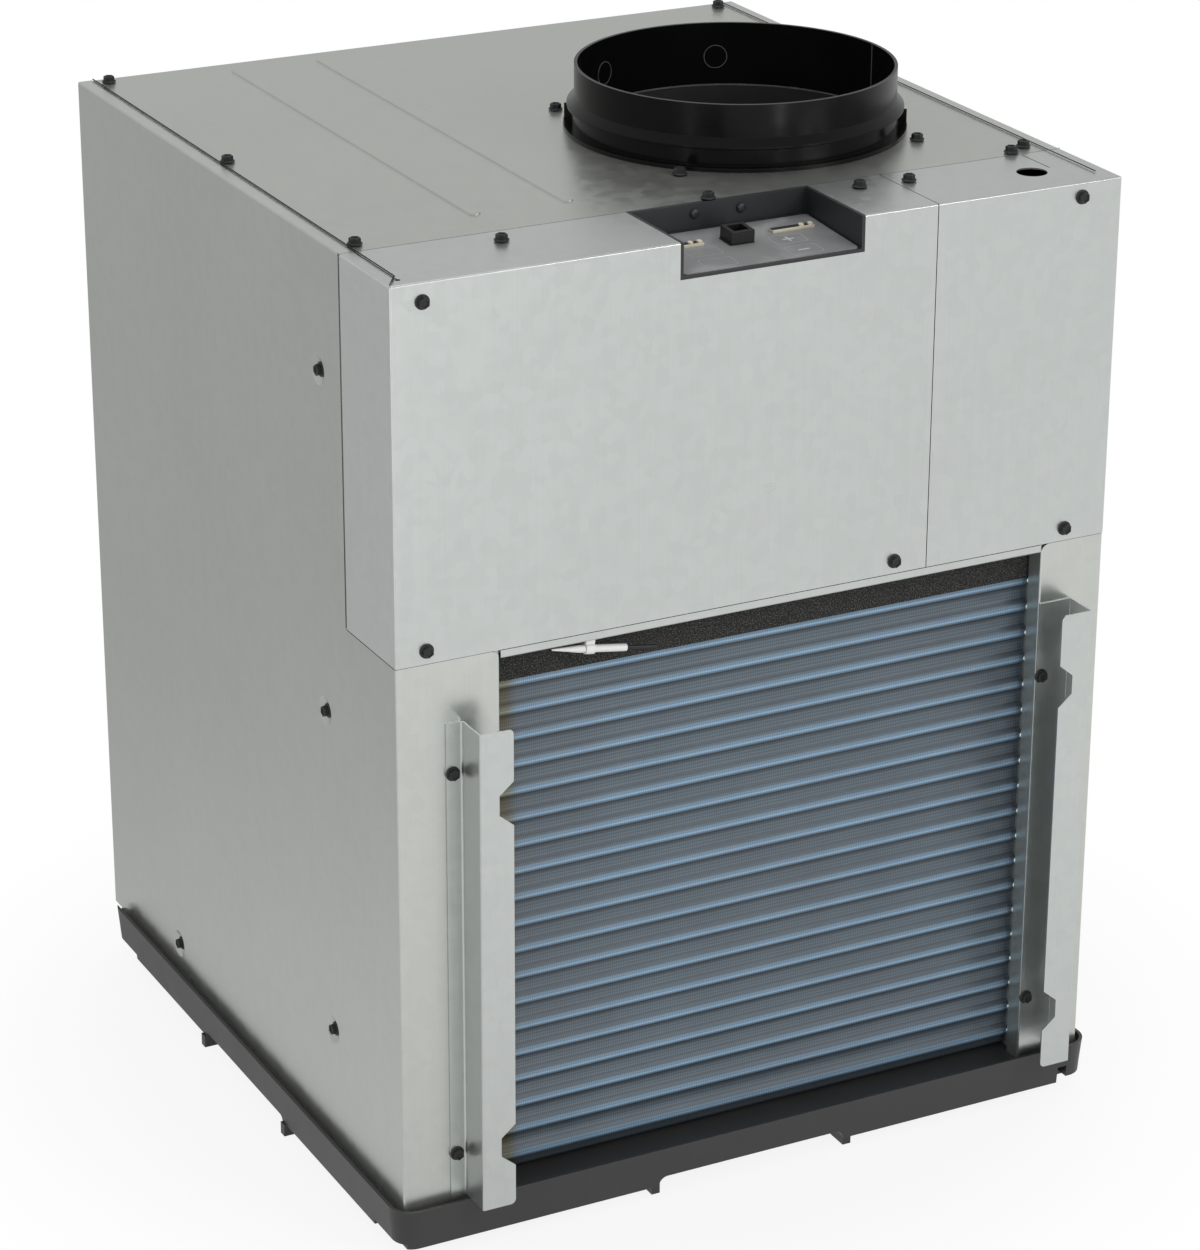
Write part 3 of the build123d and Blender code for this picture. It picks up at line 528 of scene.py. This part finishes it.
class AC_OT_cabinet(AirConditionerOperator, bpy.types.Operator):
    """Give the folded sheets their zinc finish"""
    bl_idname = "air_conditioner.cabinet"
    bl_label = "Cabinet"

    def execute(self, context):
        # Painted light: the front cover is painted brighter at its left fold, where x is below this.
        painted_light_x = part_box("front_cover")[0].x + 0.0008
        dress(zinc_finish("Zinc Cover", side=painted_light_x), "front_cover")
        dress(zinc_finish("Zinc Side", (1.015, 1.01, 0.975), clouds=0.08), "left_side_panel", "right_side_panel")
        dress(zinc_finish("Zinc Sheet"), "electrical_cover", "header_rail",
              "filter_rail_left", "filter_rail_right", "rear_panel", "blower_deck", "partition", "inlet_grille",
              "indoor_coil_end_plates", "outdoor_coil_end_plates")
        dress(zinc_finish("Zinc Top", (0.92, 0.905, 0.86), clouds=0.06, lit=0.0), "top_panel")
        self.seams()
        return {"FINISHED"}

    def seams(self):
        """Painted shade in the seams: dark strips along the top's two edges, across its left front corner and down the
        sides.
        """
        low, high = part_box("top_panel")
        edge, half = high.x + 0.0004, 0.0005
        slit_end, corner = (edge, -0.2617), (0.2932, -0.2787)
        # Painted shade: thin dark slabs laid over the seams stand in for the shade inside them.
        strips = []
        for side in (-1, 1):
            run = np.array([(edge - half, slit_end[1]), (edge + half, slit_end[1]), (edge + half, high.y - 0.0008),
                            (edge - half, high.y - 0.0008)])
            cut = np.array([(slit_end[0] - half, slit_end[1]), (corner[0], corner[1] - half),
                            (corner[0], corner[1] + half), (slit_end[0] + half, slit_end[1] + half)])
            for outline in (run, cut) if side < 0 else (run,):
                outline = outline * (side, 1)
                points, faces = slab(outline[::side], 0.0004, np.eye(3), (0, 0, high.z - 0.00005))
                strips.append((points, np.concatenate(faces)))
            x = sorted((side * 0.2936, side * 0.29385))
            strips.append(block((x[0], -0.1954, 0.4740), (x[1], -0.1948, high.z - 0.0006)))
        points, faces = joined(strips)
        make_piece("seam_shades", points, [faces], moulded_finish("Seam Shade", (0.006, 0.006, 0.006), 0.8,
                                                                  depth=0.00001, edge_light=0.0),
                   smooth=False)


class AC_OT_pan(AirConditionerOperator, bpy.types.Operator):
    """Finish the moulded base pan"""
    bl_idname = "air_conditioner.pan"
    bl_label = "Base Pan"

    def execute(self, context):
        mould = settings().mould
        dress(moulded_finish("Pan Plastic", mould.pan, 0.42, grain=0.0009, edge_light=0.07), "base_pan")
        return {"FINISHED"}


class AC_OT_collar(AirConditionerOperator, bpy.types.Operator):
    """Finish the duct collar and add the ring marks and the seam inside it"""
    bl_idname = "air_conditioner.collar"
    bl_label = "Duct Collar"

    def execute(self, context):
        mould = settings().mould
        black = moulded_finish("Collar Plastic", mould.collar, 0.22, grain=0.0004, depth=0.000003, edge_light=0.03,
                               wear=0.02, Specular_IOR_Level=0.15)
        dress(black, "duct_collar")
        throat = moulded_finish("Throat Plastic", (0.024, 0.024, 0.025), 0.24, grain=0.0006, depth=0.000004, edge_light=0.0,
                                wear=0.02, Specular_IOR_Level=0.7)
        dress(throat, "outlet_throat", "blower_housing")
        low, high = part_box("duct_collar")
        middle = (low + high) / 2
        inner = 0.1198
        angles = np.radians([118.75, 68.5, -118.75, -68.5])
        mark = moulded_finish("Collar Marks", (0.10, 0.10, 0.10), 0.4, depth=0.00001)
        profile = [(mould.ring_radius, 0.0), (mould.ring_radius, 0.0003), (mould.ring_radius - 0.0006, 0.0003),
                   (mould.ring_radius - 0.0006, 0.0)]
        points, _ = lathe(profile, 40)
        faces = grid_faces(4, 40, wrap_rows=True, wrap_columns=True)
        sunk = inner - 0.00015
        sag = inner - np.sqrt(inner ** 2 - points[:, 0] ** 2)
        points[:, 2] += sag
        places = np.stack([middle.x + sunk * np.cos(angles), middle.y + sunk * np.sin(angles),
                           np.full(len(angles), high.z - 0.027)], 1)
        frames = [frame_of((-np.cos(a), -np.sin(a), 0.0)) for a in angles]
        rings = copies(points, faces, places, frames)
        seam = block((middle.x + inner - 0.0004, middle.y - 0.0004, low.z + 0.001),
                     (middle.x + inner + 0.0004, middle.y + 0.0004, high.z - 0.0006))
        points, faces = joined([rings, seam])
        make_piece("collar_marks", points, [faces], mark, smooth=False)
        return {"FINISHED"}


class AC_OT_recess(AirConditionerOperator, bpy.types.Operator):
    """Finish the control recess, its keypad and data socket, and add key marks, screws, lugs and painted slot shade by
    the pin headers
    """
    bl_idname = "air_conditioner.recess"
    bl_label = "Control Recess"

    def execute(self, context):
        mould = settings().mould
        dress(moulded_finish("Recess Plastic", mould.recess, 0.45, edge_light=0.06), "control_tub")
        dress(moulded_finish("Keypad Film", mould.film, 0.38, grain=0.0003, depth=0.00001, wear=0.5), "control_plate")
        dress(moulded_finish("Socket Plastic", (0.010, 0.010, 0.011), 0.35, depth=0.00001, edge_light=0.03),
              "data_socket")
        low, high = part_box("control_plate")
        slope = np.radians(3.468)
        rows = np.array([[1, 0, 0], [0, np.cos(slope), np.sin(slope)], [0, -np.sin(slope), np.cos(slope)]])
        origin = np.array([(low.x + high.x) / 2, low.y - 0.0015 * np.cos(slope),
                           low.z - 0.0015 * np.sin(slope) + 0.0008 * np.cos(slope)])

        def on_plate(u, v, lift=0.0):
            return origin + np.array([u, v, lift]) / 1000 @ rows

        keys = [raised_band(rounded_outline(0.0132, 0.0082, 0.003, 8), 0.00045, 0.00012, rows, on_plate(*spot))
                for spot in ((32, 36), (32, 13.5), (-37, 36), (-37, 13.5))]
        points, faces = joined(keys)
        lines = moulded_finish("Key Lines", (0.34, 0.35, 0.36), 0.4, depth=0.00001, edge_light=0.0)
        signs = moulded_finish("Key Signs", (0.52, 0.53, 0.54), 0.4, depth=0.00001, edge_light=0.0)
        make_piece("key_outlines", points, [faces], lines, smooth=False)
        arm, half = 0.0045, 0.0008
        cross = np.array([(half, half), (half, arm), (-half, arm), (-half, half), (-arm, half), (-arm, -half),
                          (-half, -half), (-half, -arm), (half, -arm), (half, -half), (arm, -half), (arm, half)])
        plus, plus_faces = slab(cross, 0.00012, rows, on_plate(32, 36))
        bar = np.array([(-arm, -half), (arm, -half), (arm, half), (-arm, half)])
        minus, minus_faces = slab(bar, 0.00012, rows, on_plate(32, 13.5))
        make_piece("key_signs", np.concatenate([plus, minus]),
                   plus_faces + [f + len(plus) for f in minus_faces], signs, smooth=False)
        head_low, head_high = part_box("pin_headers")
        slot_shades, lugs = [], []
        for x, v in ((head_high.x - 0.017, 53.0), (head_low.x + 0.017, 50.4)):
            u = (x - origin[0]) * 1000
            slot_shades.append(slab(rounded_outline(0.0170, 0.0022, 0.0006, 3), 0.00012, rows, on_plate(u, v + 0.75, 1.72)))
            lugs += [slab(rounded_outline(0.0017, 0.0022, 0.0012, 4), 0.0014, rows, on_plate(u + at, v - 0.4, 1.70))
                     for at in (7.0, 14.4)]
        socket_low, socket_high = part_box("data_socket")
        middle = ((np.array(socket_low) + np.array(socket_high)) / 2 - origin) * 1000
        reach = (socket_high.x - socket_low.x) / 2 + 0.0013
        socket_shade = slab(rounded_outline(reach, reach * 0.86, 0.0008, 3), 0.00012, rows,
                    on_plate(middle[0] - 0.9, middle[1] - 0.9))
        # Painted shade: thin dark slabs on the keypad plate stand in for the shade in the pin headers' slots and round
        # the data socket's base.
        dark = moulded_finish("Pin Well Shade", (0.006, 0.006, 0.006), 0.6, depth=0.00001, edge_light=0.0)
        for name, parts, finish, slot in (("pin_well_shades", slot_shades + [socket_shade], dark, "tub_plastic"),
                                          ("pin_lugs", lugs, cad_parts["pin_headers"].material_slots[0].material,
                                           "pale_plastic")):
            shapes = [np.concatenate([f[i] + n * len(parts[0][0]) for n, (_, f) in enumerate(parts)]) for i in range(3)]
            make_piece(name, np.concatenate([p for p, _ in parts]), shapes, finish, smooth=False)
        profile = [(0.0038, 0.0), (0.0037, 0.0010), (0.0031, 0.0018), (0.0014, 0.0022), (0.0003, 0.0022)]
        points, quads = lathe(profile, 20)
        spots = [(-0.0179, -0.1992, 0.7444), (0.0200, -0.1992, 0.7438)]
        points, quads = copies(points, lidded(quads, len(profile), 20), spots, [frame_of((0, -1, 0))] * 2)
        screw = moulded_finish("Recess Screw", (0.020, 0.021, 0.022), 0.32, depth=0.00001, edge_light=0.05)
        make_piece("recess_screws", points, [quads], screw)
        return {"FINISHED"}


def fin_pack(low, high, fin_pitch, fin_depth, tube_pitch, rise, facing):
    """A block of fins with a pleated, ridged face; faces are quads and the two end polygons.

    Across, every second column is set back by the fin depth. Down, each tube row is a flat band with
    a half ellipse standing out of its middle. Each column is a closed loop of its face and two points
    behind.
    """
    columns = 2 * int(round((high.x - low.x) / fin_pitch)) + 1
    rows = int(round((high.z - low.z) / tube_pitch))
    phase = np.array([0.0, 0.243, 0.285, 0.36, 0.45, 0.55, 0.64, 0.715])
    phase = np.concatenate([phase[:-1], [0.715, 0.757]])[[0, 1, 2, 3, 4, 5, 6, 8]]
    bow = 1 - np.sqrt(np.clip(1 - ((phase - 0.5) / 0.257) ** 2, 0, 1))
    z = high.z - np.concatenate([(np.arange(rows)[:, None] + phase).ravel(), [rows]]) / rows * (high.z - low.z)
    back = np.concatenate([np.tile(bow, rows), [bow[0]]]) * rise
    x = np.linspace(low.x, high.x, columns)
    pleat = np.where(np.arange(columns) % 2 == 0, 0.0, fin_depth)
    front_y, back_y = (low.y, high.y) if facing < 0 else (high.y, low.y)
    y = front_y - facing * (back[None] + pleat[:, None])
    face = np.stack([np.repeat(x[:, None], len(z), 1), y, np.repeat(z[None], columns, 0)], 2)
    ends = [np.stack([x, np.full(columns, back_y), np.full(columns, e)], 1)[:, None] for e in (low.z, high.z)]
    loops = np.concatenate([face, *ends], 1)
    around = loops.shape[1]
    quads = grid_faces(columns, around, wrap_columns=True)
    first = np.arange(around)[None, ::-1]
    last = first[:, ::-1] + (columns - 1) * around
    if facing > 0:
        quads, first, last = quads[:, ::-1], first[:, ::-1], last[:, ::-1]
    return loops.reshape(-1, 3), [quads, first, last]


class AC_OT_indoor_coil(AirConditionerOperator, bpy.types.Operator):
    """Make the indoor coil's pressed fins and tube ends and finish its tubes"""
    bl_idname = "air_conditioner.indoor_coil"
    bl_label = "Indoor Coil"

    def execute(self, context):
        coil = settings().coil
        low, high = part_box("indoor_coil")
        finish = fin_finish("Blue Fins", high.z, coil.tube_pitch, coil.crest_highlight, coil.fold_shadow, coil.flat,
                            (low.x, coil.fin_pitch), low.x + 0.0235)
        points, faces = fin_pack(low, high, coil.fin_pitch, coil.fin_depth, coil.tube_pitch, 0.003, -1)
        make_piece("indoor_fins", points, faces, finish, replaced=("indoor_coil",))
        dress(moulded_finish("Copper Tube", (0.45, 0.20, 0.10), 0.35, wear=0.6, Metallic=0.8), "indoor_coil_bends")
        profile = [(0.0027, 0.0), (0.0026, 0.0007), (0.0018, 0.0013), (0.0006, 0.0015)]
        points, faces = lathe(profile, 12)
        rows = (np.arange(coil.rows) + 0.5) * coil.tube_pitch
        places = np.stack([np.full(coil.rows, high.x + 0.0010), np.full(coil.rows, low.y), high.z - rows], 1)
        points, faces = copies(points, lidded(faces, len(profile), 12), places, [frame_of((0, -1, 0))] * coil.rows)
        # Painted highlight: the tube ends take the zinc finish at 1.5 times its brightness.
        make_piece("tube_ends", points, [faces], zinc_finish("Tube End Highlight", (1.5, 1.5, 1.5)))
        return {"FINISHED"}


class AC_OT_outdoor_coil(AirConditionerOperator, bpy.types.Operator):
    """Make the outdoor coil's bare fins"""
    bl_idname = "air_conditioner.outdoor_coil"
    bl_label = "Outdoor Coil"

    def execute(self, context):
        coil = settings().coil
        low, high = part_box("outdoor_coil")
        pitch = 0.0020
        finish = fin_finish("Bare Fins", high.z, coil.tube_pitch, (0.62, 0.63, 0.64), (0.22, 0.22, 0.225),
                            (0.42, 0.43, 0.44), (low.x, pitch))
        points, faces = fin_pack(low, high, pitch, coil.fin_depth, coil.tube_pitch, 0.003, 1)
        make_piece("outdoor_fins", points, faces, finish, replaced=("outdoor_coil",))
        return {"FINISHED"}


class AC_OT_foam(AirConditionerOperator, bpy.types.Operator):
    """Finish the foam strips"""
    bl_idname = "air_conditioner.foam"
    bl_label = "Foam"

    def execute(self, context):
        finish, tree, shader, place = new_finish("Cell Foam", 0.85)
        cells = put(tree, "ShaderNodeTexVoronoi", {"Vector": place, "Scale": 900.0})
        specks = put(tree, "ShaderNodeTexNoise", {"Vector": place, "Scale": 1100.0, "Detail": 2.0})
        bright = spread(tree, specks.outputs[0], 0.50, 0.68)
        tree.links.new(blended(tree, bright, (0.008, 0.008, 0.008), (0.115, 0.11, 0.10)), shader.inputs["Base Color"])
        bump(tree, shader, cells.outputs["Distance"], 0.0004)
        dress(finish, "foam_strip", "rear_gasket")
        return {"FINISHED"}


class AC_OT_screws(AirConditionerOperator, bpy.types.Operator):
    """Put the black hex washer head screws in place"""
    bl_idname = "air_conditioner.screws"
    bl_label = "Screws"

    def execute(self, context):
        screw = settings().screw
        finish = moulded_finish("Screw Coating", screw.coating, 0.42, grain=0.0005, edge_light=0.04, Specular_IOR_Level=0.3)
        r, half, high = screw.washer_radius, screw.across_flats / 2, screw.height
        profile = [(r, 0.0), (r, 0.0007), (r * 0.86, 0.0012), (half, 0.0013), (half, high * 0.86), (half * 0.88, high),
                   (half * 0.70, high), (half * 0.62, high * 0.80), (half * 0.02, high * 0.78)]
        points, faces = lathe(profile, 24, hexagon=[0, 0, 0, 1, 1, 1, 0.6, 0.3, 0])
        faces = lidded(faces, len(profile), 24)
        _, top_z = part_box("top_panel")
        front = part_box("front_cover")[0].y
        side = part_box("left_side_panel")[0].x
        flange = front - 0.0004
        top = top_z.z
        groups = {
            "top_screws": ((0, 0, 1), [(x / 1000, y / 1000, top) for x, y in (
                (-272.8, 294.9), (-275.7, 45.5), (-275.5, -182.7), (-181.0, -219.9), (4.8, 66.5), (6.7, -131.4),
                (-4.3, -194.7), (272.9, 295.3), (107.6, -218.0), (147.6, -220.6), (209.1, -130.7), (254.0, -191.0),
                (270.5, -181.8), (209.0, 66.5), (276.0, 45.5))]),
            "front_screws": ((0, -1, 0), [(x / 1000, front, z / 1000) for x, z in (
                (-269.4, 738.1), (-269.7, 483.4), (259.4, 741.0), (109.3, 483.2), (257.9, 483.3))]),
            "rail_screws": ((0, -1, 0), [(x / 1000, flange, z / 1000) for x, z in (
                (-250.8, 385.8), (-250.8, 79.2), (243.0, 365.8), (243.0, 91.5))]),
            "left_screws": ((-1, 0, 0), [(side + 0.0026, y / 1000, z / 1000) for y, z in (
                (-155.2, 655.7), (-153.5, 393.3), (-154.3, 132.6), (161.0, 61.8))]),
            "right_screws": ((1, 0, 0), [(-side - 0.0026, y / 1000, z / 1000) for y, z in (
                (-155.2, 655.7), (-153.5, 393.3), (-154.3, 132.6), (161.0, 61.8))]),
        }
        for name, (normal, places) in groups.items():
            along = (0, 0, 1) if normal[2] == 0 else (0, 1, 0)
            spun, quads = copies(points, faces, places, [frame_of(normal, along)] * len(places))
            make_piece(name, spun, [quads], finish, smooth=False)
        return {"FINISHED"}


class AC_OT_sensor(AirConditionerOperator, bpy.types.Operator):
    """Finish the return-air sensor, its clip and its lead"""
    bl_idname = "air_conditioner.sensor"
    bl_label = "Sensor"

    def execute(self, context):
        white = moulded_finish("White Plastic", (0.86, 0.86, 0.84), 0.35, depth=0.00001, edge_light=0.0, wear=0.05)
        dress(white, "sensor_tube", "sensor_clip")
        dress(moulded_finish("Lead Sleeve", (0.008, 0.008, 0.008), 0.4, depth=0.00001, edge_light=0.0), "sensor_lead")
        dress(moulded_finish("Pale Plastic", (0.72, 0.66, 0.52), 0.5, depth=0.00001, edge_light=0.1), "pin_headers")
        return {"FINISHED"}


class AC_OT_stage(AirConditionerOperator, bpy.types.Operator):
    """Set the floor, the lamps, the surrounding light and the photograph's camera"""
    bl_idname = "air_conditioner.stage"
    bl_label = "Stage"

    def execute(self, context):
        view = settings().stage
        scene = context.scene
        scene.view_settings.view_transform = "Standard"
        sin_a, cos_a = np.sin(view.azimuth), np.cos(view.azimuth)
        sin_e, cos_e = np.sin(view.elevation), np.cos(view.elevation)
        back = np.array([sin_a * cos_e, -cos_a * cos_e, sin_e])
        right = np.array([cos_a, sin_a, 0.0])
        up = np.cross(back, right)
        c, s = np.cos(view.roll), np.sin(view.roll)
        right, up = right * c + up * s, up * c - right * s
        target = np.array([0.018035, 0.0145, 0.340569])
        lens = bpy.data.cameras.new("photo_camera")
        lens.sensor_fit = "VERTICAL"
        lens.sensor_height = 36.0
        lens.lens = view.lens
        lens.clip_end = 50.0
        camera = bpy.data.objects.new("photo_camera", lens)
        scene.collection.objects.link(camera)
        turn = Matrix([[right[i], up[i], back[i]] for i in range(3)]).to_4x4()
        camera.matrix_world = Matrix.Translation(Vector(target + back * view.distance)) @ turn
        scene.camera = camera
        self.lamp(scene, "left_strip", (-59.0, 5.0), view.strip, (0.14, 1.34))
        self.lamp(scene, "right_strip", (4.0, 5.0), view.strip, (0.14, 1.34))
        self.lamp(scene, "edge_lamp", (28.0, 29.0), view.strip * 1.4, (0.80, 0.70))
        self.lamp(scene, "top_lamp", (160.0, 76.0), view.strip * 1.5, (1.1, 1.1))
        self.world(scene, view.sky)
        self.floor(scene, view.floor)
        return {"FINISHED"}

    def lamp(self, scene, name, direction, power, size):
        """A soft lamp 2.8 m from the object's middle, in a direction of azimuth and elevation in degrees."""
        light = bpy.data.lights.new(name, "AREA")
        light.energy = power
        light.shape = "RECTANGLE"
        light.size, light.size_y = size
        made = bpy.data.objects.new(name, light)
        scene.collection.objects.link(made)
        azimuth, elevation = np.radians(direction)
        away = Vector((np.sin(azimuth) * np.cos(elevation), -np.cos(azimuth) * np.cos(elevation), np.sin(elevation)))
        place = Vector((0.0, 0.0, 0.45)) + 2.8 * away
        made.matrix_world = Matrix.Translation(place) @ away.to_track_quat("Z", "Y").to_matrix().to_4x4()

    def world(self, scene, strength):
        """Even light all round, white where the camera looks straight at it."""
        world = bpy.data.worlds.new("studio")
        scene.world = world
        world.use_nodes = True
        tree = world.node_tree
        sky = tree.nodes["Background"]
        sky.inputs[0].default_value = (0.985, 0.99, 1.0, 1.0)
        sky.inputs[1].default_value = strength
        white = put(tree, "ShaderNodeBackground", {0: (1.0, 1.0, 1.0, 1.0), 1: 1.0})
        path = put(tree, "ShaderNodeLightPath")
        mixed = put(tree, "ShaderNodeMixShader", {0: path.outputs["Is Camera Ray"], 1: sky.outputs[0],
                                                  2: white.outputs[0]})
        tree.links.new(mixed.outputs[0], tree.nodes["World Output"].inputs[0])

    def floor(self, scene, tone):
        """A wide level floor: it takes the object's shadow near it and turns white further out."""
        points = np.array([[-9, -9, 0], [9, -9, 0], [9, 9, 0], [-9, 9, 0]], float)
        mesh = bpy.data.meshes.new("floor")
        mesh.from_pydata(points.tolist(), [], [[0, 1, 2, 3]])
        floor = bpy.data.objects.new("floor", mesh)
        scene.collection.objects.link(floor)
        finish, tree, shader, place = new_finish("Studio Floor", 0.9)
        cloud = use(tree, "Clouding", {"Vector": place, "Size": 0.4, "Amount": 0.01})
        shade = put(tree, "ShaderNodeCombineColor", {0: cloud["Shade"], 1: cloud["Shade"], 2: cloud["Shade"]})
        tree.links.new(blended(tree, 1.0, tone, shade.outputs[0], "MULTIPLY"), shader.inputs["Base Color"])
        path = put(tree, "ShaderNodeLightPath")
        seen = maths(tree, "MAXIMUM", path.outputs["Is Camera Ray"], path.outputs["Is Glossy Ray"])
        toward = put(tree, "ShaderNodeVectorMath", {0: place, 1: (0.46, -0.89, 0.0)}, operation="DOT_PRODUCT")
        mirrored = spread(tree, toward.outputs["Value"], -1.3, 1.2, 0.50, 0.98)
        strength = maths(tree, "MAXIMUM", path.outputs["Is Camera Ray"], mirrored)
        white = put(tree, "ShaderNodeEmission", {0: (1.0, 1.0, 1.0, 1.0), 1: strength})
        far = put(tree, "ShaderNodeVectorMath", {0: place}, operation="LENGTH").outputs["Value"]
        far = spread(tree, far, 0.34, 0.62, 0.88, 1.0)
        mixed = put(tree, "ShaderNodeMixShader", {0: maths(tree, "MULTIPLY", seen, far), 1: shader.outputs[0],
                                                  2: white.outputs[0]})
        tree.links.new(mixed.outputs[0], tree.nodes["Material Output"].inputs[0])
        mesh.materials.append(finish)


class AC_PT_panel(bpy.types.Panel):
    """Lists the settings and the operators of the air conditioner"""
    bl_label = "Air Conditioner"
    bl_idname = "AC_PT_panel"
    bl_space_type = "VIEW_3D"
    bl_region_type = "UI"
    bl_category = "Air Conditioner"

    def draw(self, context):
        layout = self.layout
        shown = context.scene.air_conditioner
        for name in ("metal", "mould", "coil", "screw", "stage"):
            box = layout.box()
            group = getattr(shown, name)
            box.label(text=shown.bl_rna.properties[name].name)
            for setting in group.bl_rna.properties.keys():
                if setting not in ("rna_type", "name"):
                    box.prop(group, setting)
        for operator in OPERATORS:
            layout.operator(operator.bl_idname)


OPERATORS = (AC_OT_effects, AC_OT_stage, AC_OT_cabinet, AC_OT_pan, AC_OT_collar, AC_OT_sensor, AC_OT_recess,
             AC_OT_indoor_coil, AC_OT_outdoor_coil, AC_OT_foam, AC_OT_screws)
CLASSES = (SheetMetalSettings, MouldingSettings, CoilSettings, FastenerSettings, StageSettings,
           AirConditionerSettings, *OPERATORS, AC_PT_panel)


def register():
    for cls in CLASSES:
        bpy.utils.register_class(cls)
    bpy.types.Scene.air_conditioner = PointerProperty(type=AirConditionerSettings)


def unregister():
    del bpy.types.Scene.air_conditioner
    for cls in reversed(CLASSES):
        bpy.utils.unregister_class(cls)


def main():
    register()
    for operator in OPERATORS:
        group, name = operator.bl_idname.split(".")
        getattr(getattr(bpy.ops, group), name)()


if __name__ == "__main__":
    main()
